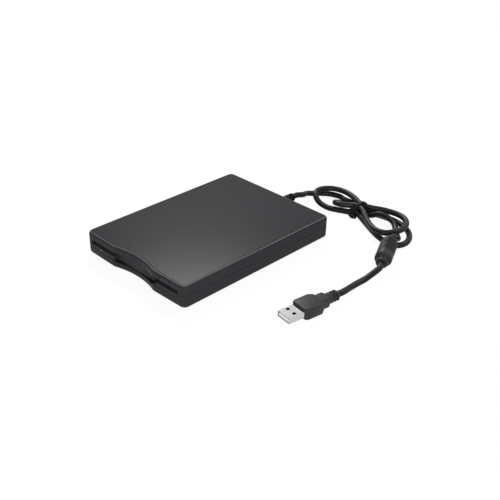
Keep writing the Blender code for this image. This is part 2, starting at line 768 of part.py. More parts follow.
def build_front(outline):
    face = prism(inset(outline, BEZEL_INSET), LEDGE_SEAM_Z + BEZEL_SEAM, BEZEL_TOP)
    left = block(-BAY_HALF + GAP, BEZEL_LEFT_END, FRONT - REACH, BEZEL_BACK, BAR_LOW, SLOT_HIGH)
    right = block(BEZEL_RIGHT_END, BAY_HALF - GAP, FRONT - REACH, BEZEL_BACK, BAR_LOW, SLOT_HIGH)
    start = LEDGE_SEAM_Z + BEZEL_SEAM
    near = BEZEL_LEFT_END - GAP - RISER_WIDE
    far = BEZEL_RIGHT_END + GAP + RISER_WIDE
    risers = [block(near, near + RISER_WIDE, BEZEL_BACK - RISER_THICK, BEZEL_BACK, BAR_LOW, start + LAP),
              block(far - RISER_WIDE, far, BEZEL_BACK - RISER_THICK, BEZEL_BACK, BAR_LOW, start + LAP)]
    bar = block(near, far, BEZEL_BACK - LAP, BAR_BACK, BAR_LOW, BAR_HIGH)
    window = block(LED_X - LED_WIDE / 2 - GAP, LED_X + LED_WIDE / 2 + GAP, FRONT - REACH, BEZEL_BACK + LAP,
                   LED_Z - LED_HIGH / 2 - GAP, LED_Z + LED_HIGH / 2 + GAP)
    solid("front_bezel", TRIM, [face] + risers + [bar], [window], two(left, right))
    lens_y = front_y(LED_X) + BEZEL_INSET
    solid("led_lens", LENS, [block(LED_X - LED_WIDE / 2, LED_X + LED_WIDE / 2, lens_y, lens_y + LED_DEEP,
                                   LED_Z - LED_HIGH / 2, LED_Z + LED_HIGH / 2)])

    upper = block(-FLAP_HALF, FLAP_HALF, FLAP_FRONT_Y, FLAP_BACK_Y, FLAP_MID, FLAP_TOP)
    lower = block(-FLAP_TONGUE_HALF, FLAP_TONGUE_HALF, FLAP_FRONT_Y, FLAP_BACK_Y, FLAP_LOW, FLAP_MID + LAP)
    parts = [upper, lower]
    for way in (-1, 1):
        near = way * (FLAP_HALF - FLAP_EAR)
        far = way * FLAP_HALF
        parts.append(block(min(near, far), max(near, far), FLAP_FRONT_Y, FLAP_AXIS_Y + FLAP_FACE,
                           FLAP_TOP - FLAP_EAR, FLAP_AXIS_Z + FLAP_FACE))
        pin = (way * (FLAP_HALF - LAP), way * (FLAP_PIN_END - GAP))
        parts.append(drum(FLAP_AXIS_Y, FLAP_AXIS_Z, FLAP_PIN_R, min(pin), max(pin), SIDES_SMALL, 0))
    solid("dust_flap", TRIM, parts, at=(0, FLAP_AXIS_Y, FLAP_AXIS_Z))

    coil = []
    start_x = -(FLAP_HALF + GAP + WIRE_R)
    span = FLAP_PIN_END - BRACKET_THICK - FLAP_HALF - 2 * (GAP + WIRE_R)
    ring_r = FLAP_PIN_R + GAP + WIRE_R
    turns = 3
    for i in range(turns * TURN_POINTS + 1):
        turn = 2 * math.pi * i / TURN_POINTS
        coil.append((start_x - span * i / (turns * TURN_POINTS), FLAP_AXIS_Y + ring_r * math.sin(turn),
                     FLAP_AXIS_Z + ring_r * math.cos(turn)))
    tube("flap_spring", STEEL, coil, WIRE_R, 0)

    body = case_half(outline, SEAM_Z, CASE_HIGH)
    middle = (BUTTON_LEFT + BUTTON_RIGHT) / 2
    back = front_y(middle) + BUTTON_DEEP
    keep = block(BUTTON_LEFT, BUTTON_RIGHT, FRONT - REACH, back, BUTTON_LOW, BUTTON_HIGH)
    cheeks = []
    for near in (BUTTON_LEFT + GAP, BUTTON_RIGHT - GAP - CHEEK_WIDE):
        cheeks.append(block(near, near + CHEEK_WIDE, back - LAP, back + CHEEK_LONG, CHEEK_LOW, CHEEK_HIGH))
    slot = block(middle - TONGUE_HALF - GAP, middle + TONGUE_HALF + GAP, back - TONGUE_DEEP, back + LAP,
                 SLIDE_PLATE_LOW - GAP, SLIDE_TOP + GAP)
    solid("eject_button", TRIM, [body] + cheeks, [slot], keep)
    return back


def tube(name, look, route, radius, rounds):
    curve = bpy.data.curves.new(name, "CURVE")
    curve.dimensions = "3D"
    curve.bevel_depth = radius
    curve.bevel_resolution = rounds
    curve.use_fill_caps = True
    line = curve.splines.new("POLY")
    line.points.add(len(route) - 1)
    for point, place in zip(line.points, route):
        point.co = (place[0], place[1], place[2], 1)
    line.use_smooth = True
    item = bpy.data.objects.new(name, curve)
    bpy.context.scene.collection.objects.link(item)
    curve.materials.append(material(name, look[0], look[1], look[2]))
    return item


def slot_path(shift_y, shift_z, radius):
    """A rounded slot that follows a pin from one end of its path to the other."""
    ends = []
    for along, drop in ((-PRESS, -PRESS / 2), (TRAVEL, DROP)):
        ends.append(Vector((along * shift_y, -drop * shift_z)))
    way = (ends[1] - ends[0]).normalized()
    turn = math.atan2(way.y, way.x)
    half = SIDES_SMALL // 2
    outline = circle(ends[1].x, ends[1].y, radius, half, turn - math.pi / 2, math.pi)
    outline += circle(ends[0].x, ends[0].y, radius, half, turn + math.pi / 2, math.pi)
    return outline


def build_chassis(button_back):
    floor = block(-CHASSIS_HALF, CHASSIS_HALF, CHASSIS_FRONT, CHASSIS_BACK, CHASSIS_Z, CHASSIS_TOP)
    tail = block(CHASSIS_TAIL_LEFT, CHASSIS_TAIL_RIGHT, CHASSIS_BACK - LAP, CHASSIS_TAIL, CHASSIS_Z, CHASSIS_TOP)
    parts = [floor, tail]
    cuts = []
    for way in (-1, 1):
        near = way * (CHASSIS_HALF - SHEET)
        far = way * CHASSIS_HALF
        parts.append(block(min(near, far), max(near, far), CHASSIS_FRONT, CHASSIS_BACK, CHASSIS_Z, CHASSIS_HIGH))
        for y in (PIN_Y_FRONT, PIN_Y_BACK):
            outline = [(y + a, PIN_Z + b) for a, b in slot_path(0, 1, PIN_R + PIN_FIT)]
            cuts.append(prism(outline, min(near, far) - GAP, max(near, far) + GAP, 0))
        cuts.append(drum(way * CHASSIS_SCREW_X, CHASSIS_SCREW_Y, SCREW_R + GAP, CHASSIS_Z - LAP,
                         CHASSIS_TOP + LAP, SIDES_SMALL))
    for x in (ROD_X, SCREW_AXIS_X):
        parts.append(block(x - RAIL_POST_HALF, x + RAIL_POST_HALF, RAIL_POST_FRONT,
                           RAIL_POST_FRONT + RAIL_POST_THICK, CHASSIS_TOP - LAP, RAIL_POST_TOP))
    parts.append(block(ROD_X - RAIL_POST_HALF, ROD_X + RAIL_POST_HALF, RAIL_POST_REAR,
                       RAIL_POST_REAR + RAIL_POST_THICK, CHASSIS_TOP - LAP, RAIL_POST_TOP))
    cuts.append(drum(ROD_X, ROD_Z, ROD_R + GAP, ROD_FRONT, ROD_BACK, SIDES, 1))
    cuts.append(drum(SCREW_AXIS_X, ROD_Z, ROD_R + RUN_FIT, ROD_FRONT, RAIL_POST_FRONT + RAIL_POST_THICK + LAP,
                     SIDES, 1))
    for x, y in ((USB_BOARD_LEFT + STANDOFF_IN, USB_BOARD_FRONT + STANDOFF_IN),
                 (USB_BOARD_RIGHT - STANDOFF_IN, USB_BOARD_BACK - STANDOFF_IN)):
        parts.append(drum(x, y, STANDOFF_R, CHASSIS_TOP - LAP, USB_BOARD_LOW - GAP, SIDES_SMALL))
    solid("chassis", STEEL, parts, cuts)
    for i, way in enumerate((-1, 1)):
        head = CHASSIS_TOP + GAP
        profile = [(FLOOR_TOP - SCREW_SINK + GAP, 0), (FLOOR_TOP - SCREW_SINK + GAP, SCREW_R), (head, SCREW_R),
                   (head, SCREW_HEAD_R), (head + SCREW_HEAD, SCREW_HEAD_R - GAP), (head + SCREW_HEAD, 0)]
        solid("chassis_screw_%d" % (i + 1), STEEL,
              [turned(profile, (way * CHASSIS_SCREW_X, CHASSIS_SCREW_Y, 0), sides=SIDES_SMALL)])

    plate = block(-HOLDER_HALF, HOLDER_HALF, HOLDER_FRONT, HOLDER_BACK, HOLDER_PLATE_LOW, HOLDER_HIGH)
    parts = [plate]
    cuts = [block(-HEAD_SLOT_HALF, HEAD_SLOT_HALF, HEAD_SLOT_FRONT, HOLDER_BACK + REACH,
                  HOLDER_PLATE_LOW - REACH, HOLDER_HIGH + REACH),
            drum(LEVER_X, LEVER_Y, STUD_R + GAP, HOLDER_PLATE_LOW - LAP, HOLDER_HIGH + LAP, SIDES_SMALL)]
    for way in (-1, 1):
        near = way * (HOLDER_HALF - THIN_SHEET)
        far = way * HOLDER_HALF
        parts.append(block(min(near, far), max(near, far), HOLDER_FRONT, HOLDER_BACK, HOLDER_LOW,
                           HOLDER_PLATE_LOW + LAP))
        flange = way * FLANGE_IN
        edge = way * (HOLDER_HALF - LAP)
        parts.append(block(min(flange, edge), max(flange, edge), FLANGE_FRONT, FLANGE_BACK, HOLDER_LOW,
                           HOLDER_LOW + THIN_SHEET))
        pin = (way * (HOLDER_HALF - LAP), way * PIN_END)
        for y in (PIN_Y_FRONT, PIN_Y_BACK):
            parts.append(drum(y, PIN_Z, PIN_R, min(pin), max(pin), SIDES_SMALL, 0))
        parts.append(block(way * SPRING_X - HOOK_HALF, way * SPRING_X + HOOK_HALF, HOOK_Y - THIN_SHEET, HOOK_Y,
                           HOLDER_HIGH - LAP, HOOK_TOP))
    solid("disk_holder", STEEL, parts, cuts)

    plate = block(-SLIDE_HALF, SLIDE_HALF, HOLDER_FRONT, HOLDER_BACK, SLIDE_PLATE_LOW, SLIDE_TOP)
    middle = (BUTTON_LEFT + BUTTON_RIGHT) / 2
    tongue = block(middle - TONGUE_HALF, middle + TONGUE_HALF, button_back - TONGUE_DEEP + GAP,
                   HOLDER_FRONT + LAP, SLIDE_PLATE_LOW, SLIDE_TOP)
    parts = [plate, tongue]
    cuts = [block(-HEAD_SLOT_HALF, HEAD_SLOT_HALF, HEAD_SLOT_FRONT, HOLDER_BACK + REACH,
                  SLIDE_PLATE_LOW - REACH, SLIDE_TOP + REACH)]
    for way in (-1, 1):
        near = way * (SLIDE_HALF - THIN_SHEET)
        far = way * SLIDE_HALF
        parts.append(block(min(near, far), max(near, far), HOLDER_FRONT, HOLDER_BACK, SLIDE_LOW,
                           SLIDE_PLATE_LOW + LAP))
        for y in (PIN_Y_FRONT, PIN_Y_BACK):
            outline = [(y + a, PIN_Z + b) for a, b in slot_path(1, 1, PIN_R + PIN_FIT)]
            cuts.append(prism(outline, min(near, far) - GAP, max(near, far) + GAP, 0))
        cuts.append(block(way * SPRING_X - WINDOW_HALF, way * SPRING_X + WINDOW_HALF, WINDOW_FRONT, WINDOW_BACK,
                          SLIDE_PLATE_LOW - LAP, SLIDE_TOP + LAP))
    solid("slide_plate", ZINC, parts, cuts)
    for i, way in enumerate((-1, 1)):
        first = HOOK_Y + GAP + WIRE_R
        span = WINDOW_BACK - GAP - WIRE_R - first
        coil = []
        for k in range(SPRING_TURNS * TURN_POINTS + 1):
            turn = 2 * math.pi * k / TURN_POINTS
            coil.append((way * SPRING_X + SPRING_R * math.cos(turn), first + span * k / (SPRING_TURNS * TURN_POINTS),
                         (HOLDER_HIGH + ROOF_LOW) / 2 + SPRING_R * math.sin(turn)))
        tube("eject_spring_%d" % (i + 1), STEEL, coil, WIRE_R, 0)

    tip = (LEVER_X + LEVER_LONG * math.cos(LEVER_REST), LEVER_Y + LEVER_LONG * math.sin(LEVER_REST))
    back = (LEVER_X - LEVER_TAIL * math.cos(LEVER_REST), LEVER_Y - LEVER_TAIL * math.sin(LEVER_REST))
    quarter = math.pi / 2
    outline = circle(tip[0], tip[1], LEVER_HALF, SIDES_SMALL // 2, LEVER_REST - quarter, math.pi)
    outline += circle(back[0], back[1], LEVER_HALF, SIDES_SMALL // 2, LEVER_REST + quarter, math.pi)
    high = LEVER_LOW + LEVER_THICK
    solid("shutter_lever", ZINC, [drum(LEVER_X, LEVER_Y, LEVER_BOSS_R, LEVER_LOW, high),
                                  prism(outline, LEVER_LOW, high)],
          [drum(LEVER_X, LEVER_Y, STUD_R + RUN_FIT, LEVER_LOW - LAP, high + LAP)],
          at=(LEVER_X, LEVER_Y, LEVER_LOW))
    low = LEVER_LOW - GAP - STUD_HEAD
    top = HOLDER_HIGH + GAP
    profile = [(low, 0), (low, STUD_HEAD_R), (LEVER_LOW - GAP, STUD_HEAD_R), (LEVER_LOW - GAP, STUD_R),
               (top - LAP, STUD_R), (top, STUD_R - LAP), (top, 0)]
    solid("lever_pivot", STEEL, [turned(profile, (LEVER_X, LEVER_Y, 0))])
    coil = []
    first = LEVER_Y - GAP - WIRE_R
    beside = LEVER_X - LEVER_BOSS_R - GAP - SPRING_R - WIRE_R
    span = LEVER_LONG / 2
    for k in range(SPRING_TURNS * TURN_POINTS + 1):
        turn = 2 * math.pi * k / TURN_POINTS
        coil.append((beside + SPRING_R * math.cos(turn), first - span * k / (SPRING_TURNS * TURN_POINTS),
                     LEVER_LOW + LEVER_THICK / 2 + SPRING_R * math.sin(turn)))
    tube("shutter_spring", STEEL, coil, WIRE_R, 0)


def build_spindle():
    centre = (0, SPINDLE_Y, 0)
    board = block(MOTOR_BOARD_LEFT, MOTOR_BOARD_RIGHT, MOTOR_BOARD_FRONT, MOTOR_BOARD_BACK, BOARD_Z,
                  BOARD_Z + BOARD_THICK)
    solid("motor_board", BOARD, [board], [drum(0, SPINDLE_Y, BEARING_R + GAP, BOARD_Z - LAP,
                                               BOARD_Z + BOARD_THICK + LAP)])
    outline = []
    for pole in range(POLES):
        for share, radius in ((0.0, STATOR_R), (0.3, STATOR_R), (0.6, STATOR_R), (0.62, STATOR_WAIST_R),
                              (0.98, STATOR_WAIST_R)):
            turn = 2 * math.pi * (pole + share) / POLES
            outline.append((radius * math.cos(turn), SPINDLE_Y + radius * math.sin(turn)))
    solid("stator", BRASS, [prism(outline, STATOR_LOW, STATOR_HIGH)],
          [drum(0, SPINDLE_Y, STATOR_BORE_R, STATOR_LOW - LAP, STATOR_HIGH + LAP)])
    section = [(BOARD_Z, SHAFT_R + RUN_FIT), (BOARD_Z, BEARING_R), (STATOR_HIGH, BEARING_R),
               (STATOR_HIGH, SHAFT_R + RUN_FIT)]
    solid("spindle_bearing", BRASS, [turned(section, centre, ring=True)])
    profile = [(BOARD_Z + LAP, 0), (BOARD_Z + LAP, SHAFT_R), (SHAFT_TOP - GAP, SHAFT_R),
               (SHAFT_TOP, SHAFT_R - GAP), (SHAFT_TOP, 0)]
    solid("spindle_shaft", STEEL, [turned(profile, centre)], at=centre)
    roof = CUP_HIGH - CUP_WALL
    section = [(CUP_LOW, CUP_R - CUP_WALL), (CUP_LOW, CUP_R), (CUP_HIGH - GAP, CUP_R), (CUP_HIGH, CUP_R - GAP),
               (CUP_HIGH, SHAFT_R + GAP), (roof, SHAFT_R + GAP), (roof, CUP_R - CUP_WALL)]
    solid("rotor_cup", ZINC, [turned(section, centre, sides=SIDES_BIG, ring=True)], at=centre)
    outer = CUP_R - CUP_WALL - GAP
    section = [(CUP_LOW, outer - MAGNET_THICK), (CUP_LOW, outer), (roof - GAP, outer), (roof - GAP, outer - MAGNET_THICK)]
    solid("rotor_magnet", BLACK, [turned(section, centre, sides=SIDES_BIG, ring=True)], at=centre)
    low = CUP_HIGH + GAP
    section = [(low, SHAFT_R + GAP), (low, HUB_R), (HUB_HIGH - LAP, HUB_R), (HUB_HIGH, HUB_R - LAP),
               (HUB_HIGH, SHAFT_R + GAP)]
    hole = drum(DRIVE_PIN_AT, SPINDLE_Y, DRIVE_PIN_R + GAP, low - GAP, HUB_HIGH + GAP, SIDES_SMALL)
    solid("disk_hub", STEEL, [turned(section, centre, sides=SIDES_BIG, ring=True)], [hole], at=centre)
    profile = [(low, 0), (low, DRIVE_PIN_R), (DRIVE_PIN_TOP - GAP, DRIVE_PIN_R), (DRIVE_PIN_TOP, DRIVE_PIN_R - GAP),
               (DRIVE_PIN_TOP, 0)]
    solid("hub_drive_pin", STEEL, [turned(profile, (DRIVE_PIN_AT, SPINDLE_Y, 0), sides=SIDES_SMALL)], at=centre)


def build_heads():
    middle_x = (SENSOR_LEFT + SENSOR_RIGHT) / 2
    flag_mid = (SENSOR_FRONT + SENSOR_BACK) / 2
    parts = [block(-CARRIAGE_HALF, CARRIAGE_HALF, CARRIAGE_FRONT, CARRIAGE_BACK, CARRIAGE_LOW, CARRIAGE_HIGH),
             block(-LOWER_ARM_HALF, LOWER_ARM_HALF, LOWER_ARM_FRONT, CARRIAGE_BACK - GAP, LOWER_ARM_LOW,
                   LOWER_ARM_HIGH),
             block(middle_x - FLAG_HALF, -CARRIAGE_HALF + LAP, flag_mid - FLAG_HALF, flag_mid + FLAG_HALF,
                   FLAG_BAR_LOW, FLAG_BAR_HIGH),
             block(middle_x - FLAG_HALF, middle_x + FLAG_HALF, flag_mid - FLAG_HALF, flag_mid + FLAG_HALF,
                   FLAG_LOW, FLAG_BAR_LOW + LAP)]
    for near in (-EAR_IN - EAR_THICK, EAR_IN):
        parts.append(block(near, near + EAR_THICK, ARM_AXIS_Y - EAR_HALF_Y, ARM_AXIS_Y + EAR_HALF_Y,
                           CARRIAGE_HIGH - LAP, EAR_TOP))
    cuts = [drum(ROD_X, ROD_Z, ROD_R + RUN_FIT, CARRIAGE_FRONT - LAP, CARRIAGE_BACK + LAP, SIDES, 1),
            drum(SCREW_AXIS_X, ROD_Z, ROD_R + RUN_FIT, CARRIAGE_FRONT - LAP, CARRIAGE_BACK + LAP, SIDES, 1),
            drum(ARM_AXIS_Y, ARM_AXIS_Z, ARM_PIN_R + RUN_FIT, -CARRIAGE_HALF, CARRIAGE_HALF, SIDES_SMALL, 0)]
    solid("head_carriage", BLACK, parts, cuts)
    low = LOWER_ARM_HIGH + GAP
    solid("lower_head", CERAMIC, [block(-HEAD_HALF_X, HEAD_HALF_X, HEAD_Y - HEAD_HALF_Y, HEAD_Y + HEAD_HALF_Y,
                                        low, low + HEAD_HIGH)])
    parts = [block(-ARM_HALF, ARM_HALF, ARM_FRONT, ARM_BACK, ARM_LOW, ARM_HIGH),
             drum(ARM_AXIS_Y, ARM_AXIS_Z, ARM_PIN_R, -ARM_PIN_END, ARM_PIN_END, SIDES_SMALL, 0)]
    solid("upper_head_arm", ZINC, parts, at=(0, ARM_AXIS_Y, ARM_AXIS_Z))
    solid("upper_head", CERAMIC, [block(-HEAD_HALF_X, HEAD_HALF_X, HEAD_Y - HEAD_HALF_Y, HEAD_Y + HEAD_HALF_Y,
                                        UPPER_HEAD_LOW, ARM_LOW - GAP)], at=(0, ARM_AXIS_Y, ARM_AXIS_Z))
    profile = [(0, 0), (0, ROD_R - LAP), (LAP, ROD_R), (ROD_BACK - ROD_FRONT - LAP, ROD_R),
               (ROD_BACK - ROD_FRONT, ROD_R - LAP), (ROD_BACK - ROD_FRONT, 0)]
    solid("guide_rod", STEEL, [turned(profile, (ROD_X, ROD_FRONT, ROD_Z), (0, 1, 0))])

    coil = []
    turns = 1
    first = ARM_HALF + WIRE_R + GAP / 2
    ring_r = ARM_SPRING_R
    span = EAR_IN - ARM_HALF - 2 * WIRE_R - GAP
    for k in range(2 * turns * TURN_POINTS + 1):
        turn = 2 * math.pi * k / TURN_POINTS
        coil.append((first + span * k / (2 * turns * TURN_POINTS), ARM_AXIS_Y + ring_r * math.cos(turn),
                     ARM_AXIS_Z + ring_r * math.sin(turn)))
    tube("arm_spring", STEEL, coil, WIRE_R, 0)

    start = RAIL_POST_FRONT + LAP
    rows = int((LEAD_BACK - start) / THREAD_STEP)
    rings = []
    for k in range(rows + 1):
        y = start + (LEAD_BACK - start) * k / rows
        ring = []
        for i in range(THREAD_SIDES):
            turn = 2 * math.pi * i / THREAD_SIDES
            groove = max(0.0, math.cos(turn - 2 * math.pi * y / LEAD)) ** 2
            radius = ROD_R - THREAD_DEEP * groove
            ring.append((SCREW_AXIS_X + radius * math.cos(turn), y, ROD_Z + radius * math.sin(turn)))
        rings.append(ring)
    solid("lead_screw", STEEL, [loft(rings)], at=(SCREW_AXIS_X, start, ROD_Z))
    long = STEPPER_BACK - STEPPER_FRONT
    profile = [(0, 0), (0, STEPPER_R - GAP), (GAP, STEPPER_R), (long - STEPPER_BOSS, STEPPER_R),
               (long - STEPPER_BOSS, STEPPER_BOSS_R), (long, STEPPER_BOSS_R), (long, 0)]
    solid("stepper_motor", STEEL, [turned(profile, (SCREW_AXIS_X, STEPPER_FRONT, ROD_Z), (0, 1, 0))])


def ribbon(centre, thick):
    """Outline of a thin strip with the given centre line."""
    upper = []
    lower = []
    for i, here in enumerate(centre):
        a = Vector(centre[max(0, i - 1)])
        b = Vector(centre[min(len(centre) - 1, i + 1)])
        way = (b - a).normalized()
        normal = Vector((-way.y, way.x)) * (thick / 2)
        upper.append(tuple(Vector(here) + normal))
        lower.append(tuple(Vector(here) - normal))
    return upper + lower[::-1]


def build_boards():
    post_a = block(SENSOR_LEFT, SENSOR_LEFT + SENSOR_POST, SENSOR_FRONT, SENSOR_BACK, SENSOR_LOW, SENSOR_HIGH)
    post_b = block(SENSOR_RIGHT - SENSOR_POST, SENSOR_RIGHT, SENSOR_FRONT, SENSOR_BACK, SENSOR_LOW, SENSOR_HIGH)
    base = block(SENSOR_LEFT, SENSOR_RIGHT, SENSOR_FRONT, SENSOR_BACK, SENSOR_LOW, SENSOR_BASE)
    solid("track_zero_sensor", BLACK, [base, post_a, post_b])
    holes = []
    switch_y = (SWITCH_FRONT + SWITCH_BACK) / 2
    middle = (SWITCH_LEFT + SWITCH_RIGHT) / 2
    places = [middle + PLUNGER_STEP * k for k in (-1, 0, 1)]
    for x in places:
        holes.append(drum(x, switch_y, PLUNGER_R + PLUNGER_PLAY, SWITCH_HIGH - PLUNGER_WELL, SWITCH_HIGH + LAP,
                          SIDES_SMALL))
    solid("switch_block", BLACK, [block(SWITCH_LEFT, SWITCH_RIGHT, SWITCH_FRONT, SWITCH_BACK, SENSOR_LOW,
                                        SWITCH_HIGH)], holes)
    low = SWITCH_HIGH - PLUNGER_WELL + PLUNGER_TRAVEL + GAP
    for i, x in enumerate(places):
        profile = [(low, 0), (low, PLUNGER_R), (PLUNGER_TOP - GAP, PLUNGER_R), (PLUNGER_TOP, PLUNGER_R - GAP),
                   (PLUNGER_TOP, 0)]
        solid("switch_plunger_%d" % (i + 1), WHITE, [turned(profile, (x, switch_y, 0), sides=SIDES_SMALL)],
              at=(x, switch_y, low))
    top = USB_BOARD_LOW + USB_BOARD_THICK
    solid("usb_board", BOARD, [block(USB_BOARD_LEFT, USB_BOARD_RIGHT, USB_BOARD_FRONT, USB_BOARD_BACK,
                                     USB_BOARD_LOW, top)])
    low = top + GAP
    solid("controller_chip", BLACK, [block(CHIP_LEFT, CHIP_LEFT + CHIP_SIZE, CHIP_FRONT, CHIP_FRONT + CHIP_SIZE,
                                           low, low + CHIP_HIGH)])
    solid("crystal", STEEL, [block(CRYSTAL_LEFT, CRYSTAL_LEFT + CRYSTAL_WIDE, CRYSTAL_FRONT,
                                   CRYSTAL_FRONT + CRYSTAL_LONG, low, low + CHIP_HIGH)])
    half = FLAT_CABLE_THICK / 2
    low = CHASSIS_TOP + GAP + half
    high = (USB_BOARD_LOW + top) / 2
    line = [(MOTOR_BOARD_BACK + GAP, low), (USB_BOARD_FRONT - FLAT_CABLE_RISE * 2, low),
            (USB_BOARD_FRONT - FLAT_CABLE_RISE * 1.5, low + half), (USB_BOARD_FRONT - FLAT_CABLE_RISE, high - half),
            (USB_BOARD_FRONT - FLAT_CABLE_RISE / 2, high), (USB_BOARD_FRONT - GAP, high)]
    solid("flat_cable", WHITE, [prism(ribbon(line, FLAT_CABLE_THICK), FLAT_CABLE_LEFT,
                                      FLAT_CABLE_LEFT + FLAT_CABLE_WIDE, 0)])
    start = -CARRIAGE_HALF - GAP
    end = USB_BOARD_RIGHT - FLEX_FOOT
    foot = top + GAP + FLEX_THICK
    line = [(start, FLEX_SIDE_Z)]
    for k in range(FLEX_STEPS + 1):
        share = k / FLEX_STEPS
        rise = math.sin(math.pi * share)
        line.append((start - GAP + (end - start) * share, FLEX_SIDE_Z + (foot - FLEX_SIDE_Z) * share + FLEX_RISE / 2 * rise))
    solid("head_flex_cable", FILM, [prism(ribbon(line[1:], FLEX_THICK), FLEX_FRONT, FLEX_FRONT + FLEX_WIDE, 1)])


def smooth(share):
    share = min(1.0, max(0.0, share))
    return share * share * (3 - 2 * share)


def height_at(stops, share):
    for (a, low), (b, high) in zip(stops, stops[1:]):
        if share <= b:
            return low + (high - low) * smooth((share - a) / (b - a))
    return stops[-1][1]


def placed(points):
    c = math.cos(WAIST_TURN)
    s = math.sin(WAIST_TURN)
    return [(WAIST_X + u * c - v * s, WAIST_Y + u * s + v * c, z) for u, v, z in points]


def loop(side, long, wide, pinch, sway, ports, heights, lead):
    """A teardrop that leaves the waist at one port and comes back at the other."""
    top = max(math.sin(q) * math.sin(q / 2) ** pinch for q in np.linspace(0.01, math.pi, 120))
    points = []
    for i in range(LOOP_POINTS + 1):
        share = i / LOOP_POINTS
        turn = 2 * math.pi * share
        out = long * math.sin(turn / 2) ** 2
        first = (1 + math.cos(turn / 2)) / 2
        v = lead * wide / 2 * math.sin(turn) * abs(math.sin(turn / 2)) ** pinch / top
        v += ports[0] * first + ports[1] * (1 - first) + sway * (out / long) ** 2
        points.append((side * (WAIST_HALF + out), v, height_at(heights, share)))
    return points


def spline(points, step):
    """Points a step apart on a smooth curve through the given ones."""
    p = [np.array(q, float) for q in points]
    p = [2 * p[0] - p[1]] + p + [2 * p[-1] - p[-2]]
    fine = []
    for a, b, c, d in zip(p, p[1:], p[2:], p[3:]):
        t = [0.0]
        for m, n in ((a, b), (b, c), (c, d)):
            t.append(t[-1] + max(np.linalg.norm(n - m), 1e-9) ** 0.5)
        for k in range(ROUTE_FINE):
            x = t[1] + (t[2] - t[1]) * k / ROUTE_FINE
            a1 = (t[1] - x) / (t[1] - t[0]) * a + (x - t[0]) / (t[1] - t[0]) * b
            a2 = (t[2] - x) / (t[2] - t[1]) * b + (x - t[1]) / (t[2] - t[1]) * c
            a3 = (t[3] - x) / (t[3] - t[2]) * c + (x - t[2]) / (t[3] - t[2]) * d
            b1 = (t[2] - x) / (t[2] - t[0]) * a1 + (x - t[0]) / (t[2] - t[0]) * a2
            b2 = (t[3] - x) / (t[3] - t[1]) * a2 + (x - t[1]) / (t[3] - t[1]) * a3
            fine.append((t[2] - x) / (t[2] - t[1]) * b1 + (x - t[1]) / (t[2] - t[1]) * b2)
    fine.append(p[-2])
    fine = np.array(fine)
    along = np.concatenate([[0], np.cumsum(np.linalg.norm(np.diff(fine, axis=0), axis=1))])
    n = max(2, round(along[-1] / step))
    at = np.linspace(0, along[-1], n + 1)
    return np.stack([np.interp(at, along, fine[:, k]) for k in range(3)], axis=1)


def bends(line):
    a = line[:-2]
    b = line[1:-1]
    c = line[2:]
    sides = np.linalg.norm(b - a, axis=1) * np.linalg.norm(c - b, axis=1) * np.linalg.norm(c - a, axis=1)
    area = np.linalg.norm(np.cross(b - a, c - a), axis=1)
    return sides / np.maximum(2 * area, 1e-12)


def finer(line, parts):
    rows = [line[i] + (line[i + 1] - line[i]) * k / parts for i in range(len(line) - 1) for k in range(parts)]
    return np.array(rows + [line[-1]])


def spacing(line):
    """Distances between all points of a line, those near along it left out."""
    along = np.concatenate([[0], np.cumsum(np.linalg.norm(np.diff(line, axis=0), axis=1))])
    apart = line[:, None] - line[None]
    far = np.linalg.norm(apart, axis=2)
    near = np.abs(along[:, None] - along[None]) <= SETTLE_APART
    return apart, np.where(near, REACH * REACH / MM, far), along


def settle(line):
    """Push strands that are too close apart, and open out bends that are too tight."""
    n = len(line)
    parts = 4
    share = np.zeros(((n - 1) * parts + 1, n))
    for i in range(len(share)):
        s, f = divmod(i, parts)
        share[i, s] = 1 - f / parts
        if f:
            share[i, s + 1] = f / parts
    x = line.copy()
    free = np.ones(n)
    free[:2] = 0
    free[-3:] = 0
    for turn in range(SETTLE_ROUNDS):
        apart, far, _ = spacing(share @ x)
        push = np.maximum(0, (SETTLE_NEED - far) / 2)
        most = np.argmax(push, axis=1)
        rows = np.arange(len(push))
        amount = push[rows, most] / np.maximum(far[rows, most], MM * MM)
        move = amount[:, None] * apart[rows, most]
        weight = (push.max(axis=1) > 0).astype(float)
        node = (share.T @ move) / np.maximum(share.T @ weight, 0.6)[:, None]
        ease = np.zeros_like(x)
        ease[1:-1] = (x[:-2] + x[2:]) / 2 - x[1:-1]
        tight = np.zeros(n)
        tight[1:-1] = np.clip((SETTLE_BEND - bends(x)) / SETTLE_BEND, 0, 1)
        node += ease * (0.25 * tight)[:, None] + (line - x) * 0.01 * (1 - turn / SETTLE_ROUNDS)
        x += node * free[:, None]
        x[:, 2] = np.maximum(x[:, 2], FLOOR_Z)
    return x


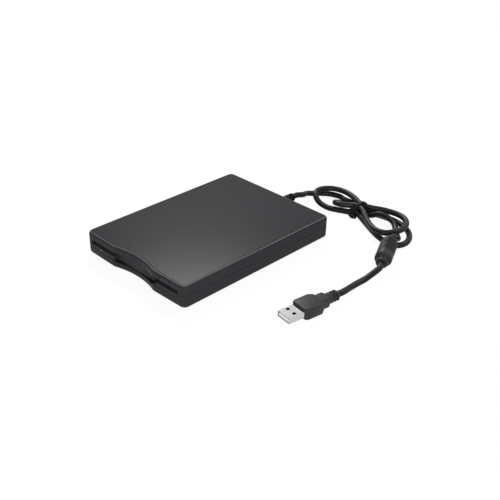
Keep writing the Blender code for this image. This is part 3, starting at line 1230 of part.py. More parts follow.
def hank_route():
    p = PITCH
    low = WAIST_LOW
    high = WAIST_HIGH
    ground = FLOOR_Z
    over = UPPER_Z
    points = placed(list(zip(ENTRY_U, ENTRY_V, ENTRY_Z)) + [(-WAIST_HALF, p, low)])
    points += placed(loop(1, RIGHT_LOW_LONG, RIGHT_LOW_WIDE, PINCH_RIGHT, RIGHT_LOW_SWAY, (p, -p),
                          [(0, low), (0.16, ground), (0.84, ground), (1, low)], 1))
    points += placed(loop(-1, LEFT_BIG_LONG, LEFT_BIG_WIDE, PINCH_LEFT_BIG, LEFT_BIG_SWAY, (-p, p / 2),
                          [(0, low), (0.14, ground), (0.27, ground), (0.45, over), (0.9, over), (1, high)], -1))
    points += placed(loop(1, RIGHT_UP_LONG, RIGHT_UP_WIDE, PINCH_RIGHT, RIGHT_UP_SWAY, (p / 2, -p / 2),
                          [(0, high), (0.12, over), (0.36, over), (0.55, RIGHT_UP_HUMP), (0.78, over), (0.92, over),
                           (1, high)], 1))
    points += placed(loop(-1, LEFT_IN_LONG, LEFT_IN_WIDE, PINCH_LEFT_IN, LEFT_IN_SWAY, (-p / 2, 0),
                          [(0, high), (0.12, over), (0.34, over), (0.5, over), (0.7, ground), (0.86, ground),
                           (1, low)], -1))
    points += placed(list(zip(LEAVE_U, LEAVE_V, LEAVE_Z)))
    top = np.array(FERRITE_TOP)
    way = np.array(FERRITE_LOW) - top
    way = way / np.linalg.norm(way)
    points += [tuple(top - way * CORD_D / 2), tuple(top)]
    kept = [points[0]]
    for q in points[1:]:
        if math.dist(q, kept[-1]) > CLOSE_POINTS:
            kept.append(q)
    return settle(spline(kept, ROUTE_STEP)), way


def measure(line):
    far = spacing(finer(line, 8))[1]
    least = far.min() - CORD_D
    length = np.linalg.norm(np.diff(line, axis=0), axis=1).sum()
    print("hank: least gap to itself %.3f mm, length %.1f mm, tightest bend %.1f mm"
          % (least / MM, length / MM, bends(line).min() / MM))
    if least < LEAST_GAP:
        print("hank: the gap is under the named least gap")


def hull(points):
    rows = sorted(set(points))
    chains = []
    for order in (rows, rows[::-1]):
        chain = []
        for p in order:
            while len(chain) > 1:
                a, b = chain[-2], chain[-1]
                if (b[0] - a[0]) * (p[1] - a[1]) - (b[1] - a[1]) * (p[0] - a[0]) > 0:
                    break
                chain.pop()
            chain.append(p)
        chains += chain[:-1]
    return chains


def build_cord():
    start_y = BACK - WALL - GAP - RELIEF_FLANGE
    out_y = BACK + GAP
    profile = [(start_y - RELIEF_STUB, 0), (start_y - RELIEF_STUB, RELIEF_STUB_R), (start_y, RELIEF_STUB_R),
               (start_y, RELIEF_FLANGE_R), (start_y + RELIEF_FLANGE, RELIEF_FLANGE_R),
               (start_y + RELIEF_FLANGE, RELIEF_NECK_R), (out_y, RELIEF_NECK_R), (out_y, RELIEF_BASE_R)]
    for k in range(RIBS, 0, -1):
        near = RELIEF_END_Y - k * RIB_STEP
        radius = RELIEF_TIP_R + (RELIEF_BASE_R - RELIEF_TIP_R) * (RELIEF_END_Y - near) / (RELIEF_END_Y - out_y)
        profile += [(near, radius), (near, radius - RIB_DEEP), (near + RIB_GROOVE, radius - RIB_DEEP),
                    (near + RIB_GROOVE, radius)]
    profile += [(RELIEF_END_Y, RELIEF_TIP_R), (RELIEF_END_Y, 0)]
    solid("strain_relief", RUBBER, [turned(profile, (RELIEF_X, 0, RELIEF_Z), (0, 1, 0))])

    line, way = hank_route()
    measure(line)
    run = spline_lead(line)
    tube("cord_lead", CORD, run, CORD_D / 2, 2)
    ferrite_start = np.array(FERRITE_TOP) + way * FERRITE_SHIFT
    hank = [tuple(q) for q in line[:-1]] + [tuple(ferrite_start - way * GAP)]
    tube("cord_hank", CORD, hank, CORD_D / 2, 1)

    long = float(np.linalg.norm(np.array(FERRITE_LOW) - np.array(FERRITE_TOP)))
    ring = long + COLLAR_RING
    profile = [(0, 0), (0, FERRITE_R - FERRITE_ROUND), (FERRITE_ROUND, FERRITE_R), (long - FERRITE_ROUND, FERRITE_R),
               (long, FERRITE_R - FERRITE_ROUND), (long, COLLAR_R), (ring, COLLAR_R), (ring, COLLAR_R - COLLAR_DEEP),
               (ring + COLLAR_GROOVE, COLLAR_R - COLLAR_DEEP), (ring + COLLAR_GROOVE, COLLAR_R),
               (long + COLLAR_LONG, COLLAR_R), (long + COLLAR_LONG, 0)]
    facing = Vector(FERRITE_FACING)
    facing = (facing - Vector(way) * facing.dot(Vector(way))).normalized()
    across = facing.cross(Vector(way))
    pitch = long * FERRITE_GROOVED_SHARE / FERRITE_GROOVES
    cuts = []
    for k in range(FERRITE_GROOVES):
        near = FERRITE_PLAIN + pitch * k
        shape = block(-FERRITE_R, FERRITE_R, near, near + pitch * FERRITE_GROOVE_SHARE, FERRITE_R - FERRITE_GROOVE,
                      FERRITE_R + FERRITE_ROUND)
        moved = [Vector(ferrite_start) + across * p[0] + Vector(way) * p[1] + facing * p[2] for p in shape[0]]
        cuts.append((moved, shape[1]))
    solid("ferrite_choke", FERRITE, [turned(profile, tuple(ferrite_start), tuple(way), SIDES)], cuts)
    body = finer(np.array([ferrite_start, ferrite_start + way * long]), 20)
    near = np.linalg.norm(body[:, None] - finer(line[:-4], 4)[None], axis=2).min()
    print("hank: least gap to the ferrite %.3f mm" % ((near - FERRITE_R - CORD_D / 2) / MM))

    plug_way = np.array(PLUG_TIP) - np.array(PLUG_BACK)
    plug_long = float(np.linalg.norm(plug_way))
    plug_way = plug_way / plug_long
    first = ferrite_start + way * (long + COLLAR_LONG + GAP)
    last = np.array(PLUG_BACK) - plug_way * GAP
    tail = stretch([tuple(first), tuple(first + way * CORD_D), (TAIL_A[0], TAIL_A[1], FLOOR_Z),
                    (TAIL_B[0], TAIL_B[1], FLOOR_Z), tuple(last - plug_way * CORD_D), tuple(last)])
    tube("cord_tail", CORD, tail, CORD_D / 2, 2)
    print("tail length %.1f mm" % (sum(math.dist(a, b) for a, b in zip(tail, tail[1:])) / MM))
    build_tie(line)
    build_plug(plug_way, plug_long)


def stretch(points):
    """A free stretch through the given points, straight for one diameter at each end."""
    route = spline(points, STRETCH_STEP)
    near = CORD_D * STRAIGHT_SHARE
    inner = []
    for q in route:
        if math.dist(q, points[0]) > near and math.dist(q, points[-1]) > near:
            inner.append((q[0], q[1], max(q[2], FLOOR_Z)))
    return list(points[:2]) + inner + list(points[-2:])


def spline_lead(line):
    """From the strain relief down to the start of the hank, straight at both ends."""
    way = line[1] - line[0]
    way = way / np.linalg.norm(way)
    start = np.array((RELIEF_X, RELIEF_END_Y + GAP, RELIEF_Z))
    straight = start + np.array((0, CORD_D, 0))
    end = line[0] - way * GAP
    before = end - way * CORD_D
    return stretch([tuple(start), tuple(straight), (RELIEF_X, LEAD_DIP_Y, LEAD_DIP_Z), tuple(before), tuple(end)])


def build_tie(line):
    c = math.cos(WAIST_TURN)
    s = math.sin(WAIST_TURN)
    crossings = []
    local = [((x - WAIST_X) * c + (y - WAIST_Y) * s, -(x - WAIST_X) * s + (y - WAIST_Y) * c, z) for x, y, z in line]
    for level in (-TIE_WIDE / 2, 0, TIE_WIDE / 2):
        for a, b in zip(local, local[1:]):
            if (a[0] - level) * (b[0] - level) < 0:
                share = (level - a[0]) / (b[0] - a[0])
                crossings.append((a[1] + (b[1] - a[1]) * share, a[2] + (b[2] - a[2]) * share))
    rims = []
    for extra in (TIE_FIT, TIE_FIT + TIE_THICK):
        cloud = []
        for v, z in crossings:
            cloud += circle(v, z, CORD_D / 2 + extra, SIDES)
        rims.append(hull(cloud))

    def world(shape):
        moved = []
        for u, v, z in shape[0]:
            moved.append((WAIST_X + u * c - v * s, WAIST_Y + u * s + v * c, z))
        return moved, shape[1]

    half = TIE_WIDE / 2
    low_v = min(v for v, _ in rims[1])
    top_z = max(z for _, z in rims[1])
    mid_v = sum(v for v, z in crossings) / len(crossings)

    def tail(at, direction):
        side, up, along = frame_of(direction)
        rings = []
        for k in range(TIE_TAIL_STEPS + 1):
            turn = TIE_TAIL_TURN * k / TIE_TAIL_STEPS
            centre = Vector(at) + along * (TIE_TAIL * k / TIE_TAIL_STEPS)
            a = side * math.cos(turn) + up * math.sin(turn)
            b = up * math.cos(turn) - side * math.sin(turn)
            wide = a * TIE_TAIL_HALF * 2
            thin = b * TIE_TAIL_HALF
            rings.append([tuple(centre + wide + thin), tuple(centre - wide + thin), tuple(centre - wide - thin),
                          tuple(centre + wide - thin)])
        return loft(rings)

    rise = (math.cos(TIE_TAIL_TOP_TILT), 0, math.sin(TIE_TAIL_TOP_TILT))
    outer = prism(rims[1], -half, half, 0)
    inner = prism(rims[0], -half - LAP, half + LAP, 0)
    item = raw_object("twist_tie", world(outer))
    lump = []
    for k in range(TIE_LUMP_STEPS + 1):
        turn = math.pi * k / TIE_LUMP_STEPS
        reach = -TIE_LUMP_LONG / 2 * math.cos(turn)
        lump.append((reach, TIE_LUMP_R * math.sin(turn) if 0 < k < TIE_LUMP_STEPS else 0))
    seat = (0, low_v - TIE_LUMP_R + TIE_THICK, TIE_LUMP_R + FLOOR_LIFT)
    for shape in (tail((0, mid_v, top_z - TIE_THICK / 2), rise), turned(lump, seat, (1, 0, 0), TIE_LUMP_SIDES)):
        combine(item, world(shape), "UNION")
    combine(item, world(inner), "DIFFERENCE")
    finish(item, BLACK[0], BLACK[1], BLACK[2], None)
    print("tie: lowest point %.2f mm" % (min(z for _, z in rims[1]) / MM))


def build_plug(way, long):
    """Plug pieces, drawn along their own axis from the cord's end and then turned into place."""
    across = np.array((-way[1], way[0], 0.0))
    back = np.array(PLUG_BACK)

    def world(shape):
        moved = [tuple(back + way * p[1] + across * p[0] + np.array((0, 0, p[2]))) for p in shape[0]]
        return moved, shape[1]

    def bar(wide, high, bevel, low, far, rise=0):
        a = wide / 2
        b = high / 2
        outline = [(a - bevel, -b), (a, -b + bevel), (a, b - bevel), (a - bevel, b), (-a + bevel, b), (-a, b - bevel),
                   (-a, -b + bevel), (-a + bevel, -b)]
        return world(prism([(p, q + rise) for p, q in outline], low, far, 1))

    step_end = PLUG_RELIEF_LONG + PLUG_STEP_LONG
    body_end = step_end + PLUG_BODY_LONG
    narrow = (PLUG_STEP_WIDE + PLUG_BEVEL) / 2
    plan = [(-PLUG_BODY_WIDE / 2, step_end + PLUG_TAPER), (-narrow, step_end), (narrow, step_end),
            (PLUG_BODY_WIDE / 2, step_end + PLUG_TAPER)]
    corner = PLUG_BODY_WIDE / 2 - PLUG_CORNER
    for side in (1, -1):
        first = 0 if side > 0 else math.pi / 2
        plan += circle(side * corner, body_end - PLUG_CORNER, PLUG_CORNER, PLUG_CORNER_STEPS, first, math.pi / 2)
    levels = ((PLUG_BEVEL, -PLUG_BODY_HIGH / 2), (0, PLUG_BEVEL - PLUG_BODY_HIGH / 2),
              (0, PLUG_BODY_HIGH / 2 - PLUG_BEVEL), (PLUG_BEVEL, PLUG_BODY_HIGH / 2))
    rings = [[(x, y, z) for x, y in inset(plan, depth)] for depth, z in levels]
    body = raw_object("plug_body", world(loft(rings)))
    for shape in (bar(PLUG_STEP_WIDE, PLUG_STEP_HIGH, PLUG_BEVEL, PLUG_RELIEF_LONG, step_end + PLUG_TAPER),
                  bar(PLUG_RELIEF_WIDE, PLUG_RELIEF_HIGH, PLUG_RELIEF_BEVEL, 0, PLUG_RELIEF_LONG + LAP)):
        combine(body, shape, "UNION")
    for k in range(RIBS):
        near = PLUG_GROOVE_AT + k * PLUG_GROOVE_STEP
        cut = bar(PLUG_BODY_WIDE, PLUG_BODY_HIGH, PLUG_BEVEL, near, near + PLUG_GROOVE)
        core = bar(PLUG_RELIEF_WIDE - 2 * PLUG_GROOVE_DEEP, PLUG_RELIEF_HIGH - 2 * PLUG_GROOVE_DEEP,
                   PLUG_RELIEF_BEVEL, near - LAP, near + PLUG_GROOVE + LAP)
        combine(body, cut, "DIFFERENCE")
        combine(body, core, "UNION")
    finish(body, RUBBER[0], RUBBER[1], RUBBER[2], None)

    start = body_end + GAP
    shell = raw_object("plug_shell", bar(SHELL_WIDE, SHELL_HIGH, SHELL_BEVEL, start, long))
    combine(shell, bar(SHELL_WIDE - 2 * SHELL_SHEET, SHELL_HIGH - 2 * SHELL_SHEET, SHELL_BEVEL_IN, start - LAP,
                       long + LAP), "DIFFERENCE")
    for side in (-1, 1):
        middle = side * SHELL_HOLE_APART / 2
        near = long - SHELL_HOLE_BACK - SHELL_HOLE / 2
        hole = world(block(middle - SHELL_HOLE / 2, middle + SHELL_HOLE / 2, near, near + SHELL_HOLE,
                           -SHELL_HIGH, SHELL_HIGH))
        combine(shell, hole, "DIFFERENCE")
    finish(shell, STEEL[0], STEEL[1], STEEL[2], None)

    low = -SHELL_HIGH / 2 + SHELL_SHEET + GAP
    half = SHELL_WIDE / 2 - SHELL_SHEET - GAP
    high = low + PLUG_TONGUE_HIGH
    end = long - PLUG_TONGUE_SET_BACK
    tongue = raw_object("plug_tongue", world(block(-half, half, start, end, low, high)))
    for k in range(CONTACTS):
        middle = (k - (CONTACTS - 1) / 2) * CONTACT_STEP
        strip = world(block(middle - CONTACT_HALF, middle + CONTACT_HALF, end - CONTACT_LONG - GAP, end - GAP,
                            high - LAP, high + CONTACT_HIGH))
        combine(tongue, strip, "UNION")
    finish(tongue, WHITE[0], WHITE[1], WHITE[2], None)


def main():
    remove_all()
    outline = build_case()
    back = build_front(outline)
    build_chassis(back)
    build_spindle()
    build_heads()
    build_boards()
    build_cord()


main()
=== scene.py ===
"""Looks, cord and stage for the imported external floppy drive."""

import math

import bmesh
import bpy
import numpy as np
from mathutils import Matrix, Vector

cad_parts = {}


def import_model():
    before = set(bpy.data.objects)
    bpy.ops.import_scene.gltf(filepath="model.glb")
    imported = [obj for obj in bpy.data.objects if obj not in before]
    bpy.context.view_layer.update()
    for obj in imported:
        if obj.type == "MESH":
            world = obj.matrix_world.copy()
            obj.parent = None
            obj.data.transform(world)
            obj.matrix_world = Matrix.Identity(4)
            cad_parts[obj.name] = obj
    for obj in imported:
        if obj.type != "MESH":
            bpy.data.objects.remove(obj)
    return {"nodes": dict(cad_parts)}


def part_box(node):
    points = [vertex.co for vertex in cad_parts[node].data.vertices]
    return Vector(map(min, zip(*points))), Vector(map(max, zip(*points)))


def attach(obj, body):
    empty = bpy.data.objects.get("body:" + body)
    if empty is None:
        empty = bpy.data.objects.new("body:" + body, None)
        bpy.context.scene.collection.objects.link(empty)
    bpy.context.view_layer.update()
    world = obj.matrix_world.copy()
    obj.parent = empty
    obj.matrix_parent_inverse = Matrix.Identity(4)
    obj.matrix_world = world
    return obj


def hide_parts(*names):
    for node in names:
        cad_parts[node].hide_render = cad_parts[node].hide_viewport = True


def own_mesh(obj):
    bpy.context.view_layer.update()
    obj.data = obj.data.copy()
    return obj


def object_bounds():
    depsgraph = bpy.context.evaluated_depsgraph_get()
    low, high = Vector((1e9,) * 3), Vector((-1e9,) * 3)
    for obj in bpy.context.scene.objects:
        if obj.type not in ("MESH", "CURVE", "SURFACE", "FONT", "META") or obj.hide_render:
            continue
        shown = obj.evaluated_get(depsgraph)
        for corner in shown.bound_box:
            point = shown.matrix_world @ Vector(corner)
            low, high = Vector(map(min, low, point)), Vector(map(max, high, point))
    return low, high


bl_info = {
    "name": "External floppy drive",
    "version": (1, 0, 0),
    "blender": (4, 5, 0),
    "location": "3D View > Sidebar > Drive",
    "description": "Dresses the packed drive with its finishes, cord, choke, tie and plug",
    "category": "Object",
}

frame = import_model()
CAD_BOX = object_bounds()
MM = 0.001

# cord route, by the same formula as the drawn solids
CORD_D = 4.5 * MM
RELIEF_X = 0.5 * MM
RELIEF_Z = 8.8 * MM
RELIEF_END_Y = 87 * MM
GAP = 0.3 * MM
TURN_GAP = 0.5 * MM
FLOOR_LIFT = 0.1 * MM
TIE_LIFT = 1.15 * MM
PITCH = CORD_D + TURN_GAP
FLOOR_Z = CORD_D / 2 + FLOOR_LIFT
NEST = PITCH * math.sqrt(3) / 2
UPPER_Z = FLOOR_Z + PITCH
WAIST_LOW = FLOOR_Z + TIE_LIFT
WAIST_HIGH = WAIST_LOW + NEST
WAIST_X = 46.4 * MM
WAIST_Y = 115.8 * MM
WAIST_TURN = math.radians(-4.7)
WAIST_HALF = 3 * MM
LOOP_POINTS = 24
LOOP_SAMPLES = 120
LOOP_FIRST = 0.01
RIGHT_LOW_LONG = 51.3 * MM
RIGHT_LOW_WIDE = 21.3 * MM
RIGHT_LOW_SWAY = -11.5 * MM
RIGHT_UP_LONG = 42.4 * MM
RIGHT_UP_WIDE = 28.5 * MM
RIGHT_UP_SWAY = -7.6 * MM
RIGHT_UP_HUMP = 8.2 * MM
LEFT_BIG_LONG = 38.5 * MM
LEFT_BIG_WIDE = 19 * MM
LEFT_BIG_SWAY = -3.2 * MM
LEFT_IN_LONG = 22.3 * MM
LEFT_IN_WIDE = 15 * MM
LEFT_IN_SWAY = -13.9 * MM
PINCH_RIGHT = 1.3
PINCH_LEFT_BIG = 1.13
PINCH_LEFT_IN = 1.5
ROUTE_STEP = 5 * MM
STRETCH_STEP = 2.5 * MM
STRAIGHT_SHARE = 1.4
ROUTE_FINE = 24
CORD_STEP = 1.8 * MM
CORD_ROUND = 4
CLOSE_POINTS = 1.5 * MM
SETTLE_ROUNDS = 600
SETTLE_NEED = 5.06 * MM
SETTLE_APART = 14 * MM
SETTLE_BEND = 7.5 * MM
SETTLE_PARTS = 4
SETTLE_LEAST = 0.6
SETTLE_EASE = 0.25
SETTLE_PULL = 0.01
SETTLE_HELD_FIRST = 2
SETTLE_HELD_LAST = 3
ENTRY_U = (-45.51 * MM, -40.83 * MM, -30.97 * MM, -23.24 * MM, -12.55 * MM)
ENTRY_V = (-8.06 * MM, 1.98 * MM, 7.11 * MM, 6.27 * MM, 7.34 * MM)
ENTRY_Z = (3.75 * MM, 2.38 * MM, 2.41 * MM, 2.52 * MM, 2.36 * MM)
LEAVE_U = (7.86 * MM, 15.95 * MM, 28.98 * MM, 39.38 * MM, 48.36 * MM, 49.29 * MM)
LEAVE_V = (0.78 * MM, 4.46 * MM, 4.93 * MM, -3.23 * MM, -11.93 * MM, -16.82 * MM)
LEAVE_Z = (2.61 * MM, 6.11 * MM, 4.38 * MM, 2.36 * MM, 4.4 * MM, 8.52 * MM)
LEAD_DIP_Y = 100 * MM
LEAD_DIP_Z = 6.6 * MM
TAIL_A = (109.9 * MM, 40 * MM)
TAIL_B = (109.6 * MM, 26.5 * MM)

# height along each loop, by its share of the way round
RIGHT_LOW_RISE = ((0, WAIST_LOW), (0.16, FLOOR_Z), (0.84, FLOOR_Z), (1, WAIST_LOW))
LEFT_BIG_RISE = ((0, WAIST_LOW), (0.14, FLOOR_Z), (0.27, FLOOR_Z), (0.45, UPPER_Z), (0.9, UPPER_Z),
                 (1, WAIST_HIGH))
RIGHT_UP_RISE = ((0, WAIST_HIGH), (0.12, UPPER_Z), (0.36, UPPER_Z), (0.55, RIGHT_UP_HUMP), (0.78, UPPER_Z),
                 (0.92, UPPER_Z), (1, WAIST_HIGH))
LEFT_IN_RISE = ((0, WAIST_HIGH), (0.12, UPPER_Z), (0.34, UPPER_Z), (0.5, UPPER_Z), (0.7, FLOOR_Z),
                (0.86, FLOOR_Z), (1, WAIST_LOW))
# side, length, width, pinch, sway, ports across the waist, heights and direction of each loop
LOOPS = (
    (1, RIGHT_LOW_LONG, RIGHT_LOW_WIDE, PINCH_RIGHT, RIGHT_LOW_SWAY, (PITCH, -PITCH), RIGHT_LOW_RISE, 1),
    (-1, LEFT_BIG_LONG, LEFT_BIG_WIDE, PINCH_LEFT_BIG, LEFT_BIG_SWAY, (-PITCH, PITCH / 2), LEFT_BIG_RISE, -1),
    (1, RIGHT_UP_LONG, RIGHT_UP_WIDE, PINCH_RIGHT, RIGHT_UP_SWAY, (PITCH / 2, -PITCH / 2), RIGHT_UP_RISE, 1),
    (-1, LEFT_IN_LONG, LEFT_IN_WIDE, PINCH_LEFT_IN, LEFT_IN_SWAY, (-PITCH / 2, 0), LEFT_IN_RISE, -1),
)

# tie, choke and plug, where the solids have them
TIE_THICK = 0.45 * MM
TIE_WIDE = 2.6 * MM
TIE_FIT = 0.28 * MM
FERRITE_R = 6.2 * MM
FERRITE_TOP = (95.6 * MM, 88 * MM, 8.9 * MM)
FERRITE_LOW = (105.5 * MM, 67.3 * MM, 7.27 * MM)
FERRITE_SHIFT = 4 * MM
FERRITE_FACING = (0.55, 0.2, 0.81)
FERRITE_PLAIN = 1.4 * MM
FERRITE_GROOVED_SHARE = 0.68
COLLAR_R = 4.25 * MM
COLLAR_LONG = 4.5 * MM
COLLAR_RING = 1.8 * MM
PLUG_BACK = (110.6 * MM, 10.5 * MM, 4.2 * MM)
PLUG_TIP = (104.2 * MM, -33.7 * MM, 4.2 * MM)
PLUG_RELIEF_LONG = 9 * MM
PLUG_RELIEF_WIDE = 7 * MM
PLUG_RELIEF_HIGH = 6.4 * MM
PLUG_STEP_LONG = 6.5 * MM
PLUG_STEP_WIDE = 9.6 * MM
PLUG_STEP_HIGH = 7.2 * MM
PLUG_BODY_LONG = 17 * MM
PLUG_BODY_WIDE = 15.6 * MM
PLUG_BODY_HIGH = 8 * MM
PLUG_TAPER = 5.5 * MM
PLUG_CORNER = 3 * MM

# the choke's rounded edges, its fins and the profile of its collar, as reach from its end and radius
CHOKE_EDGE = 1.5 * MM
CHOKE_SIDES = 72
CHOKE_ROWS = 150
EDGE_STEPS = 6
INSET_LEAST = 0.5
FIN_MIDDLE = 0.28
FIN_HALF = 0.24
FIN_EASE = 0.08
FIN_REACH = 0.95
FIN_REACH_EASE = 0.3
COLLAR_EDGE = 0.35 * MM
COLLAR_GROOVE = 0.8 * MM
COLLAR_END_R = COLLAR_R - 0.1 * MM
COLLAR_ROWS = (
    (0, COLLAR_R + COLLAR_EDGE),
    (COLLAR_EDGE, COLLAR_R),
    (COLLAR_RING - COLLAR_EDGE, COLLAR_R),
    (COLLAR_RING, COLLAR_R - COLLAR_EDGE),
    (COLLAR_RING + 0.15 * MM, COLLAR_R - COLLAR_GROOVE),
    (COLLAR_RING + 0.75 * MM, COLLAR_R - COLLAR_GROOVE),
    (COLLAR_RING + 0.9 * MM, COLLAR_R - COLLAR_EDGE),
    (COLLAR_RING + 1.2 * MM, COLLAR_R),
    (COLLAR_LONG - COLLAR_EDGE, COLLAR_END_R),
    (COLLAR_LONG, COLLAR_END_R - COLLAR_EDGE),
    (COLLAR_LONG, CORD_D / 2 + 0.1 * MM),
)

# the tie's flat band, the knot at its low side and its two twisted ends
TIE_SMOOTH = 40
TIE_SIDES = 12
TIE_EDGE_POWER = 0.4
TIE_FACE_POWER = 0.7
KNOT_LONG = 9 * MM
KNOT_FAT = 1.55 * MM
KNOT_UP = KNOT_FAT * 1.12 + 0.05 * MM
KNOT_ROWS = 24
KNOT_SIDES = 20
KNOT_TAPER = 0.7
KNOT_RIPPLE = 0.09
KNOT_TWIST = 9
END_LONG = 6 * MM
END_LEAN = 0.26
END_ROWS = 36
END_SIDES = 8
END_APART = 0.42 * MM
END_RADIUS = 0.4 * MM

# the plug's grip: its shoulders, the cut corners of its step and the grooves of its strain relief
GRIP_SHOULDER = 3.4 * MM
GRIP_SIDE_STOP = 1 * MM
GRIP_CORNER_STEPS = 8
STEP_CUT_LONG = 1.6 * MM
STEP_CUT_WIDE = 1.2 * MM
RELIEF_ROWS = 60
RELIEF_SIDES = 32
RELIEF_POWER = 0.6
RELIEF_OVERLAP = 1 * MM
RELIEF_LEAD = 0.86
RELIEF_LEAD_LONG = 0.8 * MM
RELIEF_GROOVES = (2.7 * MM, 5.1 * MM)
RELIEF_GROOVE_HALF = 0.65 * MM
RELIEF_GROOVE_EASE = 0.3 * MM
RELIEF_GROOVE_DEEP = 1.1 * MM
RELIEF_SIDE = 0.75
RELIEF_SIDE_HALF = 0.6
RELIEF_SIDE_EASE = 0.3

# the lever's return spring
COIL_WIRE = 0.18 * MM
COIL_TURNS = 9
COIL_STEPS = 24
COIL_SIDES = 10

# finishes: the size of marks on moulded plastic, their depth, and how far they shift its gloss
DRIFT_SIZE = 28 * MM
RUB_SIZE = 9 * MM
RUB_LAY = (1, 9, 3)
RUB_TURN = (0, 0, 0.5)
RUB_SHINE = 0.008
RUB_DULL = 0.012
GRAIN_DEEP = 0.006 * MM
SINK_DEEP = 0.03 * MM
FLECK_SHARE = 0.35
TRIM_GRAIN = 0.2 * MM
# the painted edge highlight: how far up the edges face, by the z of their normal, and the least share of the
# highlight
UPPER_EDGE = 0.87
UPPER_EDGE_HALF = 0.09
HIGHLIGHT_LEAST = 0.55
# where the tongue's light mouth turns to painted shade, from its tip
TONGUE_LIGHT = 2.4 * MM
TONGUE_DARK = 3.6 * MM
TINNED_PAD = (0.6, 0.58, 0.5)
CHOKE_COLOUR = (0.016, 0.016, 0.0175)
TIE_COLOUR = (0.008, 0.008, 0.009)
SHARP_ANGLE = math.radians(38)

# camera: its sensor and lens in millimetres, the rest in metres
SENSOR = 36
LENS = 59.618
NEAREST = 0.01
CAMERA_AT = Vector((387.61, -351.95, 300.36)) * MM
CAMERA_WAY = Vector((-0.6066, 0.6154, -0.5033))
CAMERA_ROLL = math.radians(0.93)

# floor and lamps, in metres
FLOOR_HALF = 6
FLOOR_DROP = 0.05 * MM
FLOOR_GLOW = 0.92
LAMP_AIM = Vector((0.02, 0.0, 0.01))
# name, place, width and height of each lamp
LAMPS = (
    ("back_lamp", (-0.552, 0.461, 0.695), 0.22, 0.22),
    ("rim_lamp", (0.33, 0.62, 0.71), 0.12, 0.12),
    ("side_lamp", (0.78, -0.78, 0.42), 1.0, 0.7),
)


def smooth(share):
    """A share from 0 to 1, eased at both ends."""
    share = min(1.0, max(0.0, share))
    return share * share * (3 - 2 * share)


def height_at(stops, share):
    """The height at a share of the way, eased from stop to stop."""
    for (a, low), (b, high) in zip(stops, stops[1:]):
        if share <= b:
            return low + (high - low) * smooth((share - a) / (b - a))
    return stops[-1][1]


def placed(points):
    """Points along, across and above the waist as points of the model."""
    c = math.cos(WAIST_TURN)
    s = math.sin(WAIST_TURN)
    return [(WAIST_X + u * c - v * s, WAIST_Y + u * s + v * c, z) for u, v, z in points]


def loop(side, long, wide, pinch, sway, ports, heights, lead):
    """A teardrop that leaves the waist at one port and comes back at the other."""
    turns = np.linspace(LOOP_FIRST, math.pi, LOOP_SAMPLES)
    top = max(math.sin(q) * math.sin(q / 2) ** pinch for q in turns)
    points = []
    for i in range(LOOP_POINTS + 1):
        share = i / LOOP_POINTS
        turn = 2 * math.pi * share
        out = long * math.sin(turn / 2) ** 2
        first = (1 + math.cos(turn / 2)) / 2
        v = lead * wide / 2 * math.sin(turn) * abs(math.sin(turn / 2)) ** pinch / top
        v += ports[0] * first + ports[1] * (1 - first) + sway * (out / long) ** 2
        points.append((side * (WAIST_HALF + out), v, height_at(heights, share)))
    return points


def unit(way):
    """A direction, one metre long."""
    return way / np.linalg.norm(way)


def thinned(points):
    """The points, without those that are close to the one before."""
    kept = [points[0]]
    for q in points[1:]:
        if math.dist(q, kept[-1]) > CLOSE_POINTS:
            kept.append(q)
    return kept


def travelled(line):
    """How far each point is along a line."""
    return np.concatenate([[0], np.cumsum(np.linalg.norm(np.diff(line, axis=0), axis=1))])


def spline(points, step):
    """Points a step apart on a smooth curve through the given ones."""
    p = [np.array(q, float) for q in points]
    p = [2 * p[0] - p[1]] + p + [2 * p[-1] - p[-2]]
    fine = []
    for a, b, c, d in zip(p, p[1:], p[2:], p[3:]):
        t = [0.0]
        for m, n in ((a, b), (b, c), (c, d)):
            t.append(t[-1] + max(np.linalg.norm(n - m), 1e-9) ** 0.5)
        for k in range(ROUTE_FINE):
            x = t[1] + (t[2] - t[1]) * k / ROUTE_FINE
            a1 = (t[1] - x) / (t[1] - t[0]) * a + (x - t[0]) / (t[1] - t[0]) * b
            a2 = (t[2] - x) / (t[2] - t[1]) * b + (x - t[1]) / (t[2] - t[1]) * c
            a3 = (t[3] - x) / (t[3] - t[2]) * c + (x - t[2]) / (t[3] - t[2]) * d
            b1 = (t[2] - x) / (t[2] - t[0]) * a1 + (x - t[0]) / (t[2] - t[0]) * a2
            b2 = (t[3] - x) / (t[3] - t[1]) * a2 + (x - t[1]) / (t[3] - t[1]) * a3
            fine.append((t[2] - x) / (t[2] - t[1]) * b1 + (x - t[1]) / (t[2] - t[1]) * b2)
    fine.append(p[-2])
    fine = np.array(fine)
    along = travelled(fine)
    n = max(2, round(along[-1] / step))
    at = np.linspace(0, along[-1], n + 1)
    return np.stack([np.interp(at, along, fine[:, k]) for k in range(3)], axis=1)


def bends(line):
    """The radius of the bend at each inner point of a line."""
    a = line[:-2]
    b = line[1:-1]
    c = line[2:]
    first, second, third = (np.linalg.norm(side, axis=1) for side in (b - a, c - b, c - a))
    sides = first * second * third
    area = np.linalg.norm(np.cross(b - a, c - a), axis=1)
    return sides / np.maximum(2 * area, 1e-12)


def spacing(line):
    """Distances between all points of a line, those near along it left out."""
    along = travelled(line)
    apart = line[:, None] - line[None]
    far = np.linalg.norm(apart, axis=2)
    near = np.abs(along[:, None] - along[None]) <= SETTLE_APART
    return apart, np.where(near, 1.0, far)


